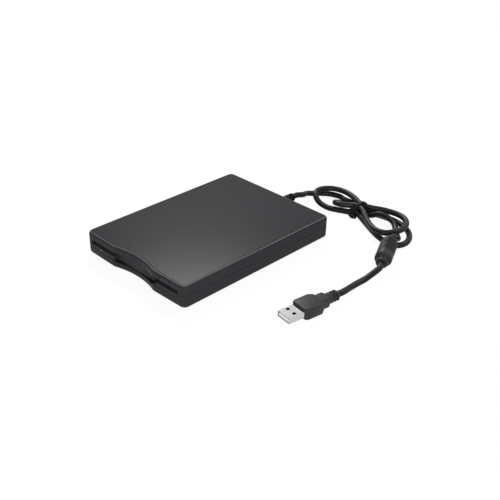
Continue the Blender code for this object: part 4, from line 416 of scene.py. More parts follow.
def settle(line):
    """Push strands that are too close apart, and open out bends that are too tight."""
    n = len(line)
    share = np.zeros(((n - 1) * SETTLE_PARTS + 1, n))
    for i in range(len(share)):
        s, f = divmod(i, SETTLE_PARTS)
        share[i, s] = 1 - f / SETTLE_PARTS
        if f:
            share[i, s + 1] = f / SETTLE_PARTS
    x = line.copy()
    free = np.ones(n)
    free[:SETTLE_HELD_FIRST] = 0
    free[-SETTLE_HELD_LAST:] = 0
    for turn in range(SETTLE_ROUNDS):
        apart, far = spacing(share @ x)
        push = np.maximum(0, (SETTLE_NEED - far) / 2)
        most = np.argmax(push, axis=1)
        rows = np.arange(len(push))
        amount = push[rows, most] / np.maximum(far[rows, most], MM * MM)
        move = amount[:, None] * apart[rows, most]
        weight = (push.max(axis=1) > 0).astype(float)
        node = (share.T @ move) / np.maximum(share.T @ weight, SETTLE_LEAST)[:, None]
        ease = np.zeros_like(x)
        ease[1:-1] = (x[:-2] + x[2:]) / 2 - x[1:-1]
        tight = np.zeros(n)
        tight[1:-1] = np.clip((SETTLE_BEND - bends(x)) / SETTLE_BEND, 0, 1)
        pull = SETTLE_PULL * (1 - turn / SETTLE_ROUNDS)
        node += ease * (SETTLE_EASE * tight)[:, None] + (line - x) * pull
        x += node * free[:, None]
        x[:, 2] = np.maximum(x[:, 2], FLOOR_Z)
    return x


def hank_route():
    """The hank's middle line up to the choke, and the choke's direction."""
    points = list(zip(ENTRY_U, ENTRY_V, ENTRY_Z)) + [(-WAIST_HALF, PITCH, WAIST_LOW)]
    for row in LOOPS:
        points += loop(*row)
    points = placed(points + list(zip(LEAVE_U, LEAVE_V, LEAVE_Z)))
    top = np.array(FERRITE_TOP)
    way = unit(np.array(FERRITE_LOW) - top)
    points += [tuple(top - way * CORD_D / 2), tuple(top)]
    return settle(spline(thinned(points), ROUTE_STEP)), way


def stretch(points):
    """A free stretch through the given points, straight for one diameter at each end."""
    route = spline(points, STRETCH_STEP)
    near = CORD_D * STRAIGHT_SHARE
    inner = []
    for q in route:
        if math.dist(q, points[0]) > near and math.dist(q, points[-1]) > near:
            inner.append((q[0], q[1], max(q[2], FLOOR_Z)))
    return list(points[:2]) + inner + list(points[-2:])


def lead_route(line):
    """From the strain relief down to the start of the hank, straight at both ends."""
    way = unit(line[1] - line[0])
    start = (RELIEF_X, RELIEF_END_Y + GAP, RELIEF_Z)
    straight = (RELIEF_X, RELIEF_END_Y + GAP + CORD_D, RELIEF_Z)
    dip = (RELIEF_X, LEAD_DIP_Y, LEAD_DIP_Z)
    end = line[0] - way * GAP
    before = end - way * CORD_D
    return stretch([start, straight, dip, tuple(before), tuple(end)])


def hull(points):
    """The outer points of a flat cloud, in turn."""
    rows = sorted(set(points))
    chains = []
    for order in (rows, rows[::-1]):
        chain = []
        for p in order:
            while len(chain) > 1:
                a, b = chain[-2], chain[-1]
                if (b[0] - a[0]) * (p[1] - a[1]) - (b[1] - a[1]) * (p[0] - a[0]) > 0:
                    break
                chain.pop()
            chain.append(p)
        chains += chain[:-1]
    return chains


def circle(cx, cy, radius, sides, start=0.0, sweep=2 * math.pi):
    """Points round a circle, or round an arc with both its ends."""
    full = sweep >= 2 * math.pi
    count = sides if full else sides + 1
    return [(cx + radius * math.cos(start + sweep * i / sides),
             cy + radius * math.sin(start + sweep * i / sides)) for i in range(count)]


def inset(outline, depth):
    """An outline moved in by the depth all round."""
    n = len(outline)
    moved = []
    for i in range(n):
        a = Vector(outline[i - 1])
        b = Vector(outline[i])
        c = Vector(outline[(i + 1) % n])
        first = (b - a).normalized()
        second = (c - b).normalized()
        normal = Vector((-first.y - second.y, first.x + second.x)).normalized()
        lean = max(INSET_LEAST, normal.dot(Vector((-first.y, first.x))))
        moved.append(tuple(b + normal * (depth / lean)))
    return moved


def cord_route():
    """The whole cord's middle line, from the strain relief to the back of the plug."""
    line, way = hank_route()
    choke_start = np.array(FERRITE_TOP) + way * FERRITE_SHIFT
    long = math.dist(FERRITE_TOP, FERRITE_LOW)
    plug_way = unit(np.array(PLUG_TIP) - np.array(PLUG_BACK))
    first = choke_start + way * (long + COLLAR_LONG + GAP)
    last = np.array(PLUG_BACK) - plug_way * GAP
    tail = stretch([tuple(first), tuple(first + way * CORD_D), (*TAIL_A, FLOOR_Z), (*TAIL_B, FLOOR_Z),
                    tuple(last - plug_way * CORD_D), tuple(last)])
    points = [tuple(q) for part in (lead_route(line)[:-1], line, tail) for q in part]
    kept = thinned(points)
    kept[-1] = points[-1]
    return spline(kept, CORD_STEP)


def waist_crossings():
    """Where the hank's runs pass under the tie's middle and edges, across the waist and up."""
    c = math.cos(WAIST_TURN)
    s = math.sin(WAIST_TURN)
    local = []
    for x, y, z in hank_route()[0]:
        x -= WAIST_X
        y -= WAIST_Y
        local.append((x * c + y * s, -x * s + y * c, z))
    crossings = []
    for level in (-TIE_WIDE / 2, 0, TIE_WIDE / 2):
        for a, b in zip(local, local[1:]):
            if (a[0] - level) * (b[0] - level) < 0:
                share = (level - a[0]) / (b[0] - a[0])
                crossings.append((a[1] + (b[1] - a[1]) * share, a[2] + (b[2] - a[2]) * share))
    return crossings


# Finishes

def start_look(name, colour, rough, metallic=0.0):
    """A new material in one colour, with its node tree and shader."""
    look = bpy.data.materials.new(name)
    look.use_nodes = True
    tree = look.node_tree
    shader = tree.nodes["Principled BSDF"]
    shader.inputs["Base Color"].default_value = (*colour, 1)
    shader.inputs["Roughness"].default_value = rough
    shader.inputs["Metallic"].default_value = metallic
    look.diffuse_color = (*colour, 1)
    return look, tree, shader


def feed(tree, socket, value):
    """Link a socket to an input, or set the input to a plain value."""
    if isinstance(value, bpy.types.NodeSocket):
        tree.links.new(value, socket)
    else:
        socket.default_value = value


def paint(tree, shader, colour, rough):
    """Lead a colour and a roughness into the shader."""
    tree.links.new(colour, shader.inputs["Base Color"])
    tree.links.new(rough, shader.inputs["Roughness"])


def place(tree, stretch_by=(1, 1, 1), turn=(0, 0, 0)):
    """Places on the object, for the textures, stretched and turned."""
    where = tree.nodes.new("ShaderNodeTexCoord")
    spot = tree.nodes.new("ShaderNodeMapping")
    spot.inputs["Scale"].default_value = stretch_by
    spot.inputs["Rotation"].default_value = turn
    tree.links.new(where.outputs["Object"], spot.inputs["Vector"])
    return spot.outputs["Vector"]


def texture(tree, kind, spot, size, settings=()):
    """The outputs of a texture whose features are about the given size in metres."""
    node = tree.nodes.new(kind)
    node.inputs["Scale"].default_value = 1 / size
    for name, value in settings:
        node.inputs[name].default_value = value
    tree.links.new(spot, node.inputs["Vector"])
    return node.outputs


def speckle(tree, spot, size, detail=3.0, rough=0.55):
    """Noise whose features are about the given size in metres."""
    settings = (("Detail", detail), ("Roughness", rough))
    return texture(tree, "ShaderNodeTexNoise", spot, size, settings)["Fac"]


def spread(tree, value, low, high, start=0.3, end=0.7):
    """A value from start to end, drawn out to run from low to high."""
    ranger = tree.nodes.new("ShaderNodeMapRange")
    ranger.inputs["From Min"].default_value = start
    ranger.inputs["From Max"].default_value = end
    ranger.inputs["To Min"].default_value = low
    ranger.inputs["To Max"].default_value = high
    tree.links.new(value, ranger.inputs["Value"])
    return ranger.outputs["Result"]


def worked_out(tree, operation, *values):
    """The result of a sum on sockets and numbers."""
    node = tree.nodes.new("ShaderNodeMath")
    node.operation = operation
    for socket, value in zip(node.inputs, values):
        feed(tree, socket, value)
    return node.outputs[0]


def parts_of(tree, vector):
    """The x, y and z sockets of a vector."""
    node = tree.nodes.new("ShaderNodeSeparateXYZ")
    tree.links.new(vector, node.inputs["Vector"])
    return node.outputs


def blend_colours(tree, share, dark, light):
    """Mix two colours or colour sockets by a share, a socket or a number."""
    mix = tree.nodes.new("ShaderNodeMix")
    mix.data_type = "RGBA"
    feed(tree, mix.inputs["Factor"], share)
    for socket, colour in ((mix.inputs["A"], dark), (mix.inputs["B"], light)):
        feed(tree, socket, colour if isinstance(colour, bpy.types.NodeSocket) else (*colour, 1))
    return mix.outputs["Result"]


def scaled(colour, by):
    """A colour made lighter or darker."""
    return tuple(min(1.0, c * by) for c in colour[:3])


def shades(tree, share, colour, dark, light):
    """One colour between a darker and a lighter tone of it."""
    return blend_colours(tree, share, scaled(colour, dark), scaled(colour, light))


def pressed(tree, shader, heights):
    """Bumps in turn: each is a height socket, its depth in metres and its strength."""
    last = None
    for height, deep, strength in heights:
        bump = tree.nodes.new("ShaderNodeBump")
        bump.inputs["Distance"].default_value = deep
        bump.inputs["Strength"].default_value = strength
        tree.links.new(height, bump.inputs["Height"])
        if last is not None:
            tree.links.new(last, bump.inputs["Normal"])
        last = bump.outputs["Normal"]
    tree.links.new(last, shader.inputs["Normal"])


def moulded(name, colour, rough, grain, drift=0.06, sheen=0.03, painted_edge_highlight=1.0):
    """Spark-eroded moulded plastic: a fine grain, slow colour drift and faint rub marks.

    Where the edge highlight setting is over 1, the upper edges have a paler line: a painted highlight where
    the rounded edge would catch the lamps, mottled by the rub marks."""
    look, tree, shader = start_look(name, colour, rough)
    spot = place(tree)
    slow = speckle(tree, spot, DRIFT_SIZE, detail=2)
    fine = speckle(tree, spot, grain, detail=4, rough=0.65)
    rubs = speckle(tree, place(tree, RUB_LAY, RUB_TURN), RUB_SIZE, detail=5, rough=0.7)
    tone = shades(tree, slow, colour, 1 - drift, 1 + drift)
    flecks = shades(tree, spread(tree, fine, 0, 1, start=0.35, end=0.65), colour, 0.9, 1.1)
    body = blend_colours(tree, FLECK_SHARE, tone, flecks)
    # painted highlight: the upper rounded edges are drawn paler where a lamp's gleam would fall, mottled by
    # the rub marks
    if painted_edge_highlight > 1:
        lie = tree.nodes.new("ShaderNodeNewGeometry").outputs["True Normal"]
        band = worked_out(tree, "COMPARE", parts_of(tree, lie)["Z"], UPPER_EDGE, UPPER_EDGE_HALF)
        painted_highlight = worked_out(tree, "MULTIPLY", band, spread(tree, rubs, HIGHLIGHT_LEAST, 1))
        body = blend_colours(tree, painted_highlight, body, scaled(colour, painted_edge_highlight))
    paint(tree, shader, body, spread(tree, rubs, rough - RUB_SHINE, rough + RUB_DULL))
    shader.inputs["Specular IOR Level"].default_value = sheen
    pressed(tree, shader, [(fine, GRAIN_DEEP, 0.5), (slow, SINK_DEEP, 0.12)])
    return look


def soft_moulded(name, colour, rough, sheen=0.05):
    """Soft vinyl or rubber: smooth, with slight waves, faint dust and a satin gloss."""
    look, tree, shader = start_look(name, colour, rough)
    spot = place(tree)
    waves = speckle(tree, spot, 3.5 * MM, detail=2)
    dust = speckle(tree, spot, 0.35 * MM, detail=4, rough=0.7)
    flecks = shades(tree, spread(tree, dust, 0, 1, start=0.45, end=0.8), colour, 0.95, 1.15)
    paint(tree, shader, flecks, spread(tree, waves, rough - 0.015, rough + 0.02))
    shader.inputs["Specular IOR Level"].default_value = sheen
    pressed(tree, shader, [(waves, 0.01 * MM, 0.08), (dust, 0.002 * MM, 0.12)])
    return look


def metal(name, colour, rough, lay, streak=0.18, deep=0.004 * MM):
    """Rolled, drawn or turned metal. lay is how fine its marks are along x, y and z."""
    look, tree, shader = start_look(name, colour, rough, metallic=1.0)
    marks = speckle(tree, place(tree, lay), 0.5 * MM, detail=4, rough=0.7)
    clouds = speckle(tree, place(tree), 6 * MM)
    tone = shades(tree, clouds, colour, 1 - streak, 1 + streak / 3)
    paint(tree, shader, tone, spread(tree, marks, rough * 0.9, rough * 1.1))
    pressed(tree, shader, [(marks, deep, 0.5)])
    return look


def tongue_plastic(name, colour, painted_shade_colour):
    """Light insulator at the plug's mouth, darkened further in by painted shade."""
    look, tree, shader = start_look(name, colour, 0.45)
    spot = place(tree)
    mouth = PLUG_TIP[1]
    # painted shade: the insulator turns dark further in from the mouth
    painted_shade_share = spread(tree, parts_of(tree, spot)["Y"], 0, 1, mouth + TONGUE_LIGHT, mouth + TONGUE_DARK)
    fine = speckle(tree, spot, 0.3 * MM, detail=4)
    tone = shades(tree, fine, colour, 0.96, 1.04)
    paint(tree, shader, blend_colours(tree, painted_shade_share, tone, painted_shade_colour), spread(tree, fine, 0.4, 0.5))
    pressed(tree, shader, [(fine, 0.01 * MM, 0.3)])
    return look


def grainy(name, colour, rough, size, metallic=0.0):
    """Wound, sintered or cast stock, with dark and light grains."""
    look, tree, shader = start_look(name, colour, rough, metallic)
    spot = place(tree)
    cells = texture(tree, "ShaderNodeTexVoronoi", spot, size)["Distance"]
    cloud = speckle(tree, spot, size * 6)
    tone = shades(tree, spread(tree, cells, 0, 1, start=0.1, end=0.7), colour, 0.75, 1.3)
    paint(tree, shader, tone, spread(tree, cloud, rough - 0.08, rough + 0.08))
    pressed(tree, shader, [(cells, 0.02 * MM, 0.4)])
    return look


def printed_board(name, colour):
    """Solder mask over copper runs, with bright pads."""
    look, tree, shader = start_look(name, colour, 0.4)
    spot = place(tree)
    bricks = (("Mortar Size", 0.09), ("Mortar Smooth", 0.1), ("Brick Width", 2.4), ("Row Height", 0.62))
    runs = texture(tree, "ShaderNodeTexBrick", spot, 2.2 * MM, bricks)["Fac"]
    pads = texture(tree, "ShaderNodeTexVoronoi", spot, 3 * MM)["Distance"]
    dots = spread(tree, pads, 1, 0, start=0.13, end=0.17)
    tone = blend_colours(tree, dots, shades(tree, runs, colour, 1, 1.9), TINNED_PAD)
    paint(tree, shader, tone, spread(tree, speckle(tree, spot, 2 * MM), 0.34, 0.46))
    tree.links.new(dots, shader.inputs["Metallic"])
    pressed(tree, shader, [(runs, 0.02 * MM, 0.4)])
    return look


def film(name, colour):
    """Thin film with copper runs under it."""
    look, tree, shader = start_look(name, colour, 0.35)
    spot = place(tree)
    stripes = texture(tree, "ShaderNodeTexWave", spot, 3.2 * MM)["Fac"]
    tone = shades(tree, spread(tree, stripes, 0, 1, start=0.4, end=0.6), colour, 1, 1.6)
    paint(tree, shader, tone, spread(tree, speckle(tree, spot, 2 * MM), 0.28, 0.42))
    pressed(tree, shader, [(stripes, 0.01 * MM, 0.4)])
    return look


def indicator(name, colour):
    """Smoked lens over an unlit green lamp."""
    look, tree, shader = start_look(name, colour, 0.16)
    spot = place(tree)
    clouds = speckle(tree, spot, 1.2 * MM, detail=2)
    smears = spread(tree, speckle(tree, spot, 0.4 * MM), 0.12, 0.22)
    paint(tree, shader, shades(tree, clouds, colour, 0.6, 1.7), smears)
    shader.inputs["Transmission Weight"].default_value = 0.35
    shader.inputs["Coat Weight"].default_value = 0.6
    pressed(tree, shader, [(clouds, 0.01 * MM, 0.2)])
    return look


# Pieces

def piece(name, points, faces, look, body="case", instead_of=()):
    """A new mesh that rides on a body and may stand for CAD nodes."""
    mesh = bpy.data.meshes.new(name)
    mesh.from_pydata([tuple(p) for p in points], [], faces)
    work = bmesh.new()
    work.from_mesh(mesh)
    bmesh.ops.recalc_face_normals(work, faces=work.faces)
    work.to_mesh(mesh)
    work.free()
    mesh.materials.append(look)
    for face in mesh.polygons:
        face.use_smooth = True
    mesh.set_sharp_from_angle(angle=SHARP_ANGLE)
    made = bpy.data.objects.new(name, mesh)
    bpy.context.scene.collection.objects.link(made)
    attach(made, body)
    if instead_of:
        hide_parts(*instead_of)
    return made


def join(shapes):
    """Several closed forms as one list of points and faces."""
    points = []
    faces = []
    for more, rows in shapes:
        start = len(points)
        points += [tuple(p) for p in more]
        faces += [tuple(i + start for i in row) for row in rows]
    return points, faces


def skin(rings, band=False):
    """A closed form through rings of points: with flat ends, or a band whose last ring meets the first."""
    n = len(rings[0])
    points = [p for ring in rings for p in ring]
    faces = [] if band else [tuple(range(n - 1, -1, -1)), tuple(range(len(points) - n, len(points)))]
    for k in range(len(rings) if band else len(rings) - 1):
        here = k * n
        there = (k + 1) % len(rings) * n
        for i in range(n):
            j = (i + 1) % n
            faces.append((here + i, here + j, there + j, there + i))
    return points, faces


def around(count):
    """Cosines and sines of equal turns."""
    turns = [2 * math.pi * i / count for i in range(count)]
    return [(math.cos(turn), math.sin(turn)) for turn in turns]


def rounded(edge):
    """Steps round a quarter of an edge: how far each is along one side, and how far in from the other."""
    turns = [math.pi / 2 * k / EDGE_STEPS for k in range(EDGE_STEPS + 1)]
    return [(edge * (1 - math.cos(turn)), edge * (1 - math.sin(turn))) for turn in turns]


def squared(share, power):
    """A cosine or sine pushed outward, which squares a round section."""
    return math.copysign(abs(share) ** power, share)


def pulse(x, half, ease):
    """1 within half of 0, and 0 beyond it, with an eased edge."""
    return 1 - smooth((abs(x) - half + ease / 2) / ease)


def dress(nodes, look):
    """Give carried-over CAD nodes their finish."""
    for name in nodes:
        if name not in frame["nodes"]:
            raise RuntimeError("the packed part has no node named " + name)
        for held in frame["nodes"][name].material_slots:
            held.material = look


def coil_spring(node, wire, turns):
    """Points and faces of a wound spring along y in the room that a CAD node takes."""
    low, high = (Vector(corner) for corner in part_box(node))
    middle = (low + high) / 2
    radius = (high.x - low.x) / 2 - wire
    long = high.y - low.y - 2 * wire
    rings = []
    count = turns * COIL_STEPS
    for k in range(count + 1):
        turn = 2 * math.pi * k / COIL_STEPS
        out = Vector((math.cos(turn), 0, math.sin(turn)))
        centre = Vector((middle.x, high.y - wire - long * k / count, middle.z)) + out * radius
        rings.append([centre + out * wire * c + Vector((0, wire * s, 0)) for c, s in around(COIL_SIDES)])
    return skin(rings)


class FloppyFinish(bpy.types.PropertyGroup):
    """Colours and gloss of the moulded and metal pieces"""
    case: bpy.props.FloatVectorProperty(
        name="Case", description="Colour of the two covers",
        subtype="COLOR", size=3, default=(0.023, 0.0212, 0.0235), min=0, max=1)
    case_rough: bpy.props.FloatProperty(
        name="Case roughness", description="Roughness of the covers",
        subtype="FACTOR", default=0.22, min=0, max=1)
    # painted highlight: how much paler the upper edges of the covers are drawn
    painted_edge_highlight: bpy.props.FloatProperty(
        name="Edge polish", description="How much paler the rubbed upper edges are",
        default=5.5, min=1, max=12)
    grain: bpy.props.FloatProperty(
        name="Grain", description="Size of the grain on the covers",
        unit="LENGTH", default=0.22 * MM, min=0.05 * MM, max=2 * MM)
    trim: bpy.props.FloatVectorProperty(
        name="Front trim", description="Colour of the ledges, flap and button",
        subtype="COLOR", size=3, default=(0.029, 0.0268, 0.03), min=0, max=1)
    vinyl: bpy.props.FloatVectorProperty(
        name="Cord", description="Colour of the cord's sheath",
        subtype="COLOR", size=3, default=(0.005, 0.0048, 0.0055), min=0, max=1)
    grip: bpy.props.FloatVectorProperty(
        name="Plug grip", description="Colour of the plug's grip",
        subtype="COLOR", size=3, default=(0.024, 0.0233, 0.025), min=0, max=1)
    plating: bpy.props.FloatVectorProperty(
        name="Plug shell", description="Colour of the plug's plated shell",
        subtype="COLOR", size=3, default=(0.56, 0.555, 0.56), min=0, max=1)


class FloppyCord(bpy.types.PropertyGroup):
    """Sizes of the cord and the pieces on it"""
    thick: bpy.props.FloatProperty(
        name="Cord diameter", description="Outside diameter of the cord",
        unit="LENGTH", default=CORD_D, min=2 * MM, max=8 * MM)
    fins: bpy.props.IntProperty(
        name="Choke fins", description="Grooves on the choke's upper side",
        default=9, min=0, max=20)
    fin_deep: bpy.props.FloatProperty(
        name="Fin depth", description="Depth of the grooves on the choke",
        unit="LENGTH", default=1.2 * MM, min=0, max=2 * MM)
    grip_edge: bpy.props.FloatProperty(
        name="Grip edge", description="Radius along the edges of the plug's grip",
        unit="LENGTH", default=1.2 * MM, min=0.1 * MM, max=3 * MM)
    tie_turns: bpy.props.FloatProperty(
        name="Tie twists", description="Turns in the twisted ends of the tie",
        default=2.5, min=0, max=8)


class FloppyStage(bpy.types.PropertyGroup):
    """Lamps and floor"""
    key: bpy.props.FloatProperty(
        name="Back lamp", description="Power of the lamp that grazes the top",
        unit="POWER", default=8, min=0, max=100)
    rim: bpy.props.FloatProperty(
        name="Rim lamp", description="Power of the lamp behind that draws the edges",
        unit="POWER", default=3, min=0, max=100)
    side: bpy.props.FloatProperty(
        name="Side lamp", description="Power of the lamp on the front right",
        unit="POWER", default=14, min=0, max=100)
    sky: bpy.props.FloatProperty(
        name="Room light", description="Strength of the even light all round",
        default=0.4, min=0, max=4)
    floor: bpy.props.FloatVectorProperty(
        name="Floor", description="Colour of the floor",
        subtype="COLOR", size=3, default=(0.9, 0.9, 0.9), min=0, max=1)


class DRIVE_OT_camera(bpy.types.Operator):
    """Set up the camera"""
    bl_idname = "drive.camera"
    bl_label = "Camera"

    def execute(self, context):
        view = bpy.data.cameras.new("camera")
        view.sensor_width = SENSOR
        view.lens = LENS
        view.clip_start = NEAREST
        made = bpy.data.objects.new("camera", view)
        context.scene.collection.objects.link(made)
        forward = CAMERA_WAY.normalized()
        right = forward.cross(Vector((0, 0, 1))).normalized()
        up = right.cross(forward)
        across = right * math.cos(CAMERA_ROLL) + up * math.sin(CAMERA_ROLL)
        upward = up * math.cos(CAMERA_ROLL) - right * math.sin(CAMERA_ROLL)
        turn = Matrix((across, upward, -forward)).transposed()
        made.matrix_world = Matrix.LocRotScale(CAMERA_AT, turn, None)
        context.scene.camera = made
        return {"FINISHED"}


class DRIVE_OT_cord(bpy.types.Operator):
    """Lay the cord from the case through its hank and choke to the plug"""
    bl_idname = "drive.cord"
    bl_label = "Cord"

    def execute(self, context):
        route = cord_route()
        curve = bpy.data.curves.new("usb_cord", "CURVE")
        curve.dimensions = "3D"
        curve.bevel_depth = context.scene.floppy_cord.thick / 2
        curve.bevel_resolution = CORD_ROUND
        curve.use_fill_caps = True
        line = curve.splines.new("POLY")
        line.points.add(len(route) - 1)
        for point, at in zip(line.points, route):
            point.co = (*at, 1)
        line.use_smooth = True
        made = bpy.data.objects.new("usb_cord", curve)
        context.scene.collection.objects.link(made)
        vinyl = context.scene.floppy_finish.vinyl
        curve.materials.append(soft_moulded("cord_sheath", vinyl, 0.4, sheen=0.13))
        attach(made, "case")
        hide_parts("cord_lead", "cord_hank", "cord_tail")
        return {"FINISHED"}


class DRIVE_OT_choke(bpy.types.Operator):
    """Mould the choke's cover with its fins and collar"""
    bl_idname = "drive.choke"
    bl_label = "Choke"

    def execute(self, context):
        sizes = context.scene.floppy_cord
        top = Vector(FERRITE_TOP)
        way = (Vector(FERRITE_LOW) - top).normalized()
        start = top + way * FERRITE_SHIFT
        long = math.dist(FERRITE_TOP, FERRITE_LOW)
        facing = Vector(FERRITE_FACING)
        facing = (facing - way * facing.dot(way)).normalized()
        across = facing.cross(way)
        pitch = long * FERRITE_GROOVED_SHARE / max(1, sizes.fins)

        rows = [(0, COLLAR_R)]
        rows += [(along, FERRITE_R - deep) for along, deep in rounded(CHOKE_EDGE)]
        straight = long - 2 * CHOKE_EDGE
        rows += [(CHOKE_EDGE + straight * k / CHOKE_ROWS, FERRITE_R) for k in range(1, CHOKE_ROWS)]
        rows += [(long - deep, FERRITE_R - along) for along, deep in rounded(CHOKE_EDGE)]
        rows += [(long + reach, radius) for reach, radius in COLLAR_ROWS]
        rings = []
        for reach, radius in rows:
            share = (reach - FERRITE_PLAIN) / pitch
            finned = radius > FERRITE_R - CHOKE_EDGE / 3 and 0 <= share < sizes.fins
            groove = sizes.fin_deep * pulse(share % 1 - FIN_MIDDLE, FIN_HALF, FIN_EASE) if finned else 0
            ring = []
            for i in range(CHOKE_SIDES):
                turn = 2 * math.pi * i / CHOKE_SIDES - math.pi
                deep = groove * pulse(turn, FIN_REACH, FIN_REACH_EASE)
                spoke = facing * math.cos(turn) + across * math.sin(turn)
                ring.append(start + way * reach + spoke * (radius - deep))
            rings.append(ring)
        points, faces = skin(rings)
        look = soft_moulded("choke_cover", CHOKE_COLOUR, 0.4, sheen=0.12)
        piece("choke_cover", points, faces, look, instead_of=("ferrite_choke",))
        return {"FINISHED"}


class DRIVE_OT_tie(bpy.types.Operator):
    """Wrap the hank in its flat wire tie, with twisted ends"""
    bl_idname = "drive.tie"
    bl_label = "Tie"

    def execute(self, context):
        crossings = waist_crossings()
        cloud = []
        for v, z in crossings:
            cloud += circle(v, z, CORD_D / 2 + TIE_FIT + TIE_THICK / 2, TIE_SMOOTH)
        rim = hull(cloud)
        section = [(TIE_WIDE / 2 * squared(c, TIE_EDGE_POWER), TIE_THICK / 2 * squared(s, TIE_FACE_POWER))
                   for c, s in around(TIE_SIDES)]
        rings = []
        for i, (v, z) in enumerate(rim):
            along = (Vector(rim[(i + 1) % len(rim)]) - Vector(rim[i - 1])).normalized()
            rings.append(placed([(u, v + along.y * thick, z - along.x * thick) for u, thick in section]))
        shapes = [skin(rings, band=True)]

        low_v = min(v for v, _ in rim) - KNOT_FAT + TIE_THICK
        rings = []
        for k in range(1, KNOT_ROWS):
            share = k / KNOT_ROWS
            fat = KNOT_FAT * math.sin(math.pi * share) ** KNOT_TAPER
            ring = []
            for i in range(KNOT_SIDES):
                turn = 2 * math.pi * i / KNOT_SIDES
                radius = fat * (1 + KNOT_RIPPLE * math.cos(2 * turn + KNOT_TWIST * share))
                ring.append((KNOT_LONG * (share - 0.5), low_v + radius * math.cos(turn),
                             KNOT_UP + radius * math.sin(turn)))
            rings.append(placed(ring))
        shapes.append(skin(rings))

        mid_v = sum(v for v, _ in crossings) / len(crossings)
        top_z = max(z for _, z in rim)
        for side in (0, math.pi):
            rings = []
            for k in range(END_ROWS + 1):
                share = k / END_ROWS
                turn = side + 2 * math.pi * context.scene.floppy_cord.tie_turns * share
                u = END_LONG * share * math.cos(END_LEAN)
                v = mid_v + END_APART * math.cos(turn)
                z = top_z + END_LONG * share * math.sin(END_LEAN) + END_APART * math.sin(turn)
                ring = [(u, v + END_RADIUS * c, z + END_RADIUS * s) for c, s in around(END_SIDES)]
                rings.append(placed(ring))
            shapes.append(skin(rings))
        points, faces = join(shapes)
        look = soft_moulded("tie_vinyl", TIE_COLOUR, 0.45)
        piece("tie_band", points, faces, look, instead_of=("twist_tie",))
        return {"FINISHED"}


class DRIVE_OT_plug(bpy.types.Operator):
    """Mould the plug's grip, and dress its shell and tongue"""
    bl_idname = "drive.plug"
    bl_label = "Plug"

    def execute(self, context):
        grip_edge = context.scene.floppy_cord.grip_edge
        colours = context.scene.floppy_finish
        back = Vector(PLUG_BACK)
        way = (Vector(PLUG_TIP) - back).normalized()
        across = Vector((-way.y, way.x, 0))

        def world(x, y, z):
            return back + way * y + across * x + Vector((0, 0, z))

        def plate(plan, high):
            edges = rounded(grip_edge)
            levels = [(along - high / 2, deep) for along, deep in edges]
            levels += [(high / 2 - along, deep) for along, deep in reversed(edges)]
            return skin([[world(x, y, level) for x, y in inset(plan, deep)] for level, deep in levels])

        relief_end = PLUG_RELIEF_LONG
        step_end = relief_end + PLUG_STEP_LONG
        side_end = step_end + PLUG_BODY_LONG - PLUG_CORNER
        body = PLUG_BODY_WIDE / 2
        step = PLUG_STEP_WIDE / 2
        narrow = step + grip_edge / 2
        plan = [(-body, side_end - GRIP_SIDE_STOP), (-body, step_end + GRIP_SHOULDER), (-narrow, step_end),
                (narrow, step_end), (body, step_end + GRIP_SHOULDER), (body, side_end - GRIP_SIDE_STOP)]
        for side, first in ((1, 0), (-1, math.pi / 2)):
            middle = side * (body - PLUG_CORNER)
            plan += circle(middle, side_end, PLUG_CORNER, GRIP_CORNER_STEPS, first, math.pi / 2)
        shapes = [plate(plan, PLUG_BODY_HIGH)]
        end = step_end + PLUG_TAPER
        cut = step - STEP_CUT_WIDE
        plan = [(-step, end), (-step, relief_end + STEP_CUT_LONG), (-cut, relief_end),
                (cut, relief_end), (step, relief_end + STEP_CUT_LONG), (step, end)]
        shapes.append(plate(plan, PLUG_STEP_HIGH))

        rings = []
        for k in range(RELIEF_ROWS + 1):
            y = (relief_end + RELIEF_OVERLAP) * k / RELIEF_ROWS
            groove = max(pulse(y - at, RELIEF_GROOVE_HALF, RELIEF_GROOVE_EASE) for at in RELIEF_GROOVES)
            lead = min(1, RELIEF_LEAD + (1 - RELIEF_LEAD) * y / RELIEF_LEAD_LONG)
            ring = []
            for side, rise in around(RELIEF_SIDES):
                flank = pulse(abs(side) - RELIEF_SIDE, RELIEF_SIDE_HALF, RELIEF_SIDE_EASE)
                deep = groove * RELIEF_GROOVE_DEEP * flank
                x = (PLUG_RELIEF_WIDE / 2 * lead - deep) * squared(side, RELIEF_POWER)
                z = (PLUG_RELIEF_HIGH / 2 * lead - deep) * squared(rise, RELIEF_POWER)
                ring.append(world(x, y, z))
            rings.append(ring)
        shapes.append(skin(rings))
        points, faces = join(shapes)
        look = moulded("plug_grip", colours.grip, 0.36, 0.18 * MM, drift=0.05, sheen=0.06)
        piece("plug_grip", points, faces, look, instead_of=("plug_body",))
        dress(["plug_shell"], metal("plug_plating", colours.plating, 0.09, (1, 1, 1), 0.06, 0.0002 * MM))
        # the tongue's second colour is the painted shade further in from its tip
        dress(["plug_tongue"], tongue_plastic("plug_tongue", (0.62, 0.62, 0.6), (0.02, 0.02, 0.021)))
        dress(["strain_relief"],
              moulded("strain_relief", scaled(colours.grip, 0.45), 0.5, 0.18 * MM, drift=0.05))
        return {"FINISHED"}


class DRIVE_OT_join(bpy.types.Operator):
    """Gather the pieces that ride on the cord; nothing more is done with them"""
    bl_idname = "drive.join"
    bl_label = "Join cord and pieces"

    def execute(self, context):
        riders = [frame["nodes"][name] for name in ("strain_relief", "plug_shell", "plug_tongue")]
        riders += [bpy.data.objects[name] for name in ("choke_cover", "tie_band", "plug_grip")]
        return {"FINISHED"}


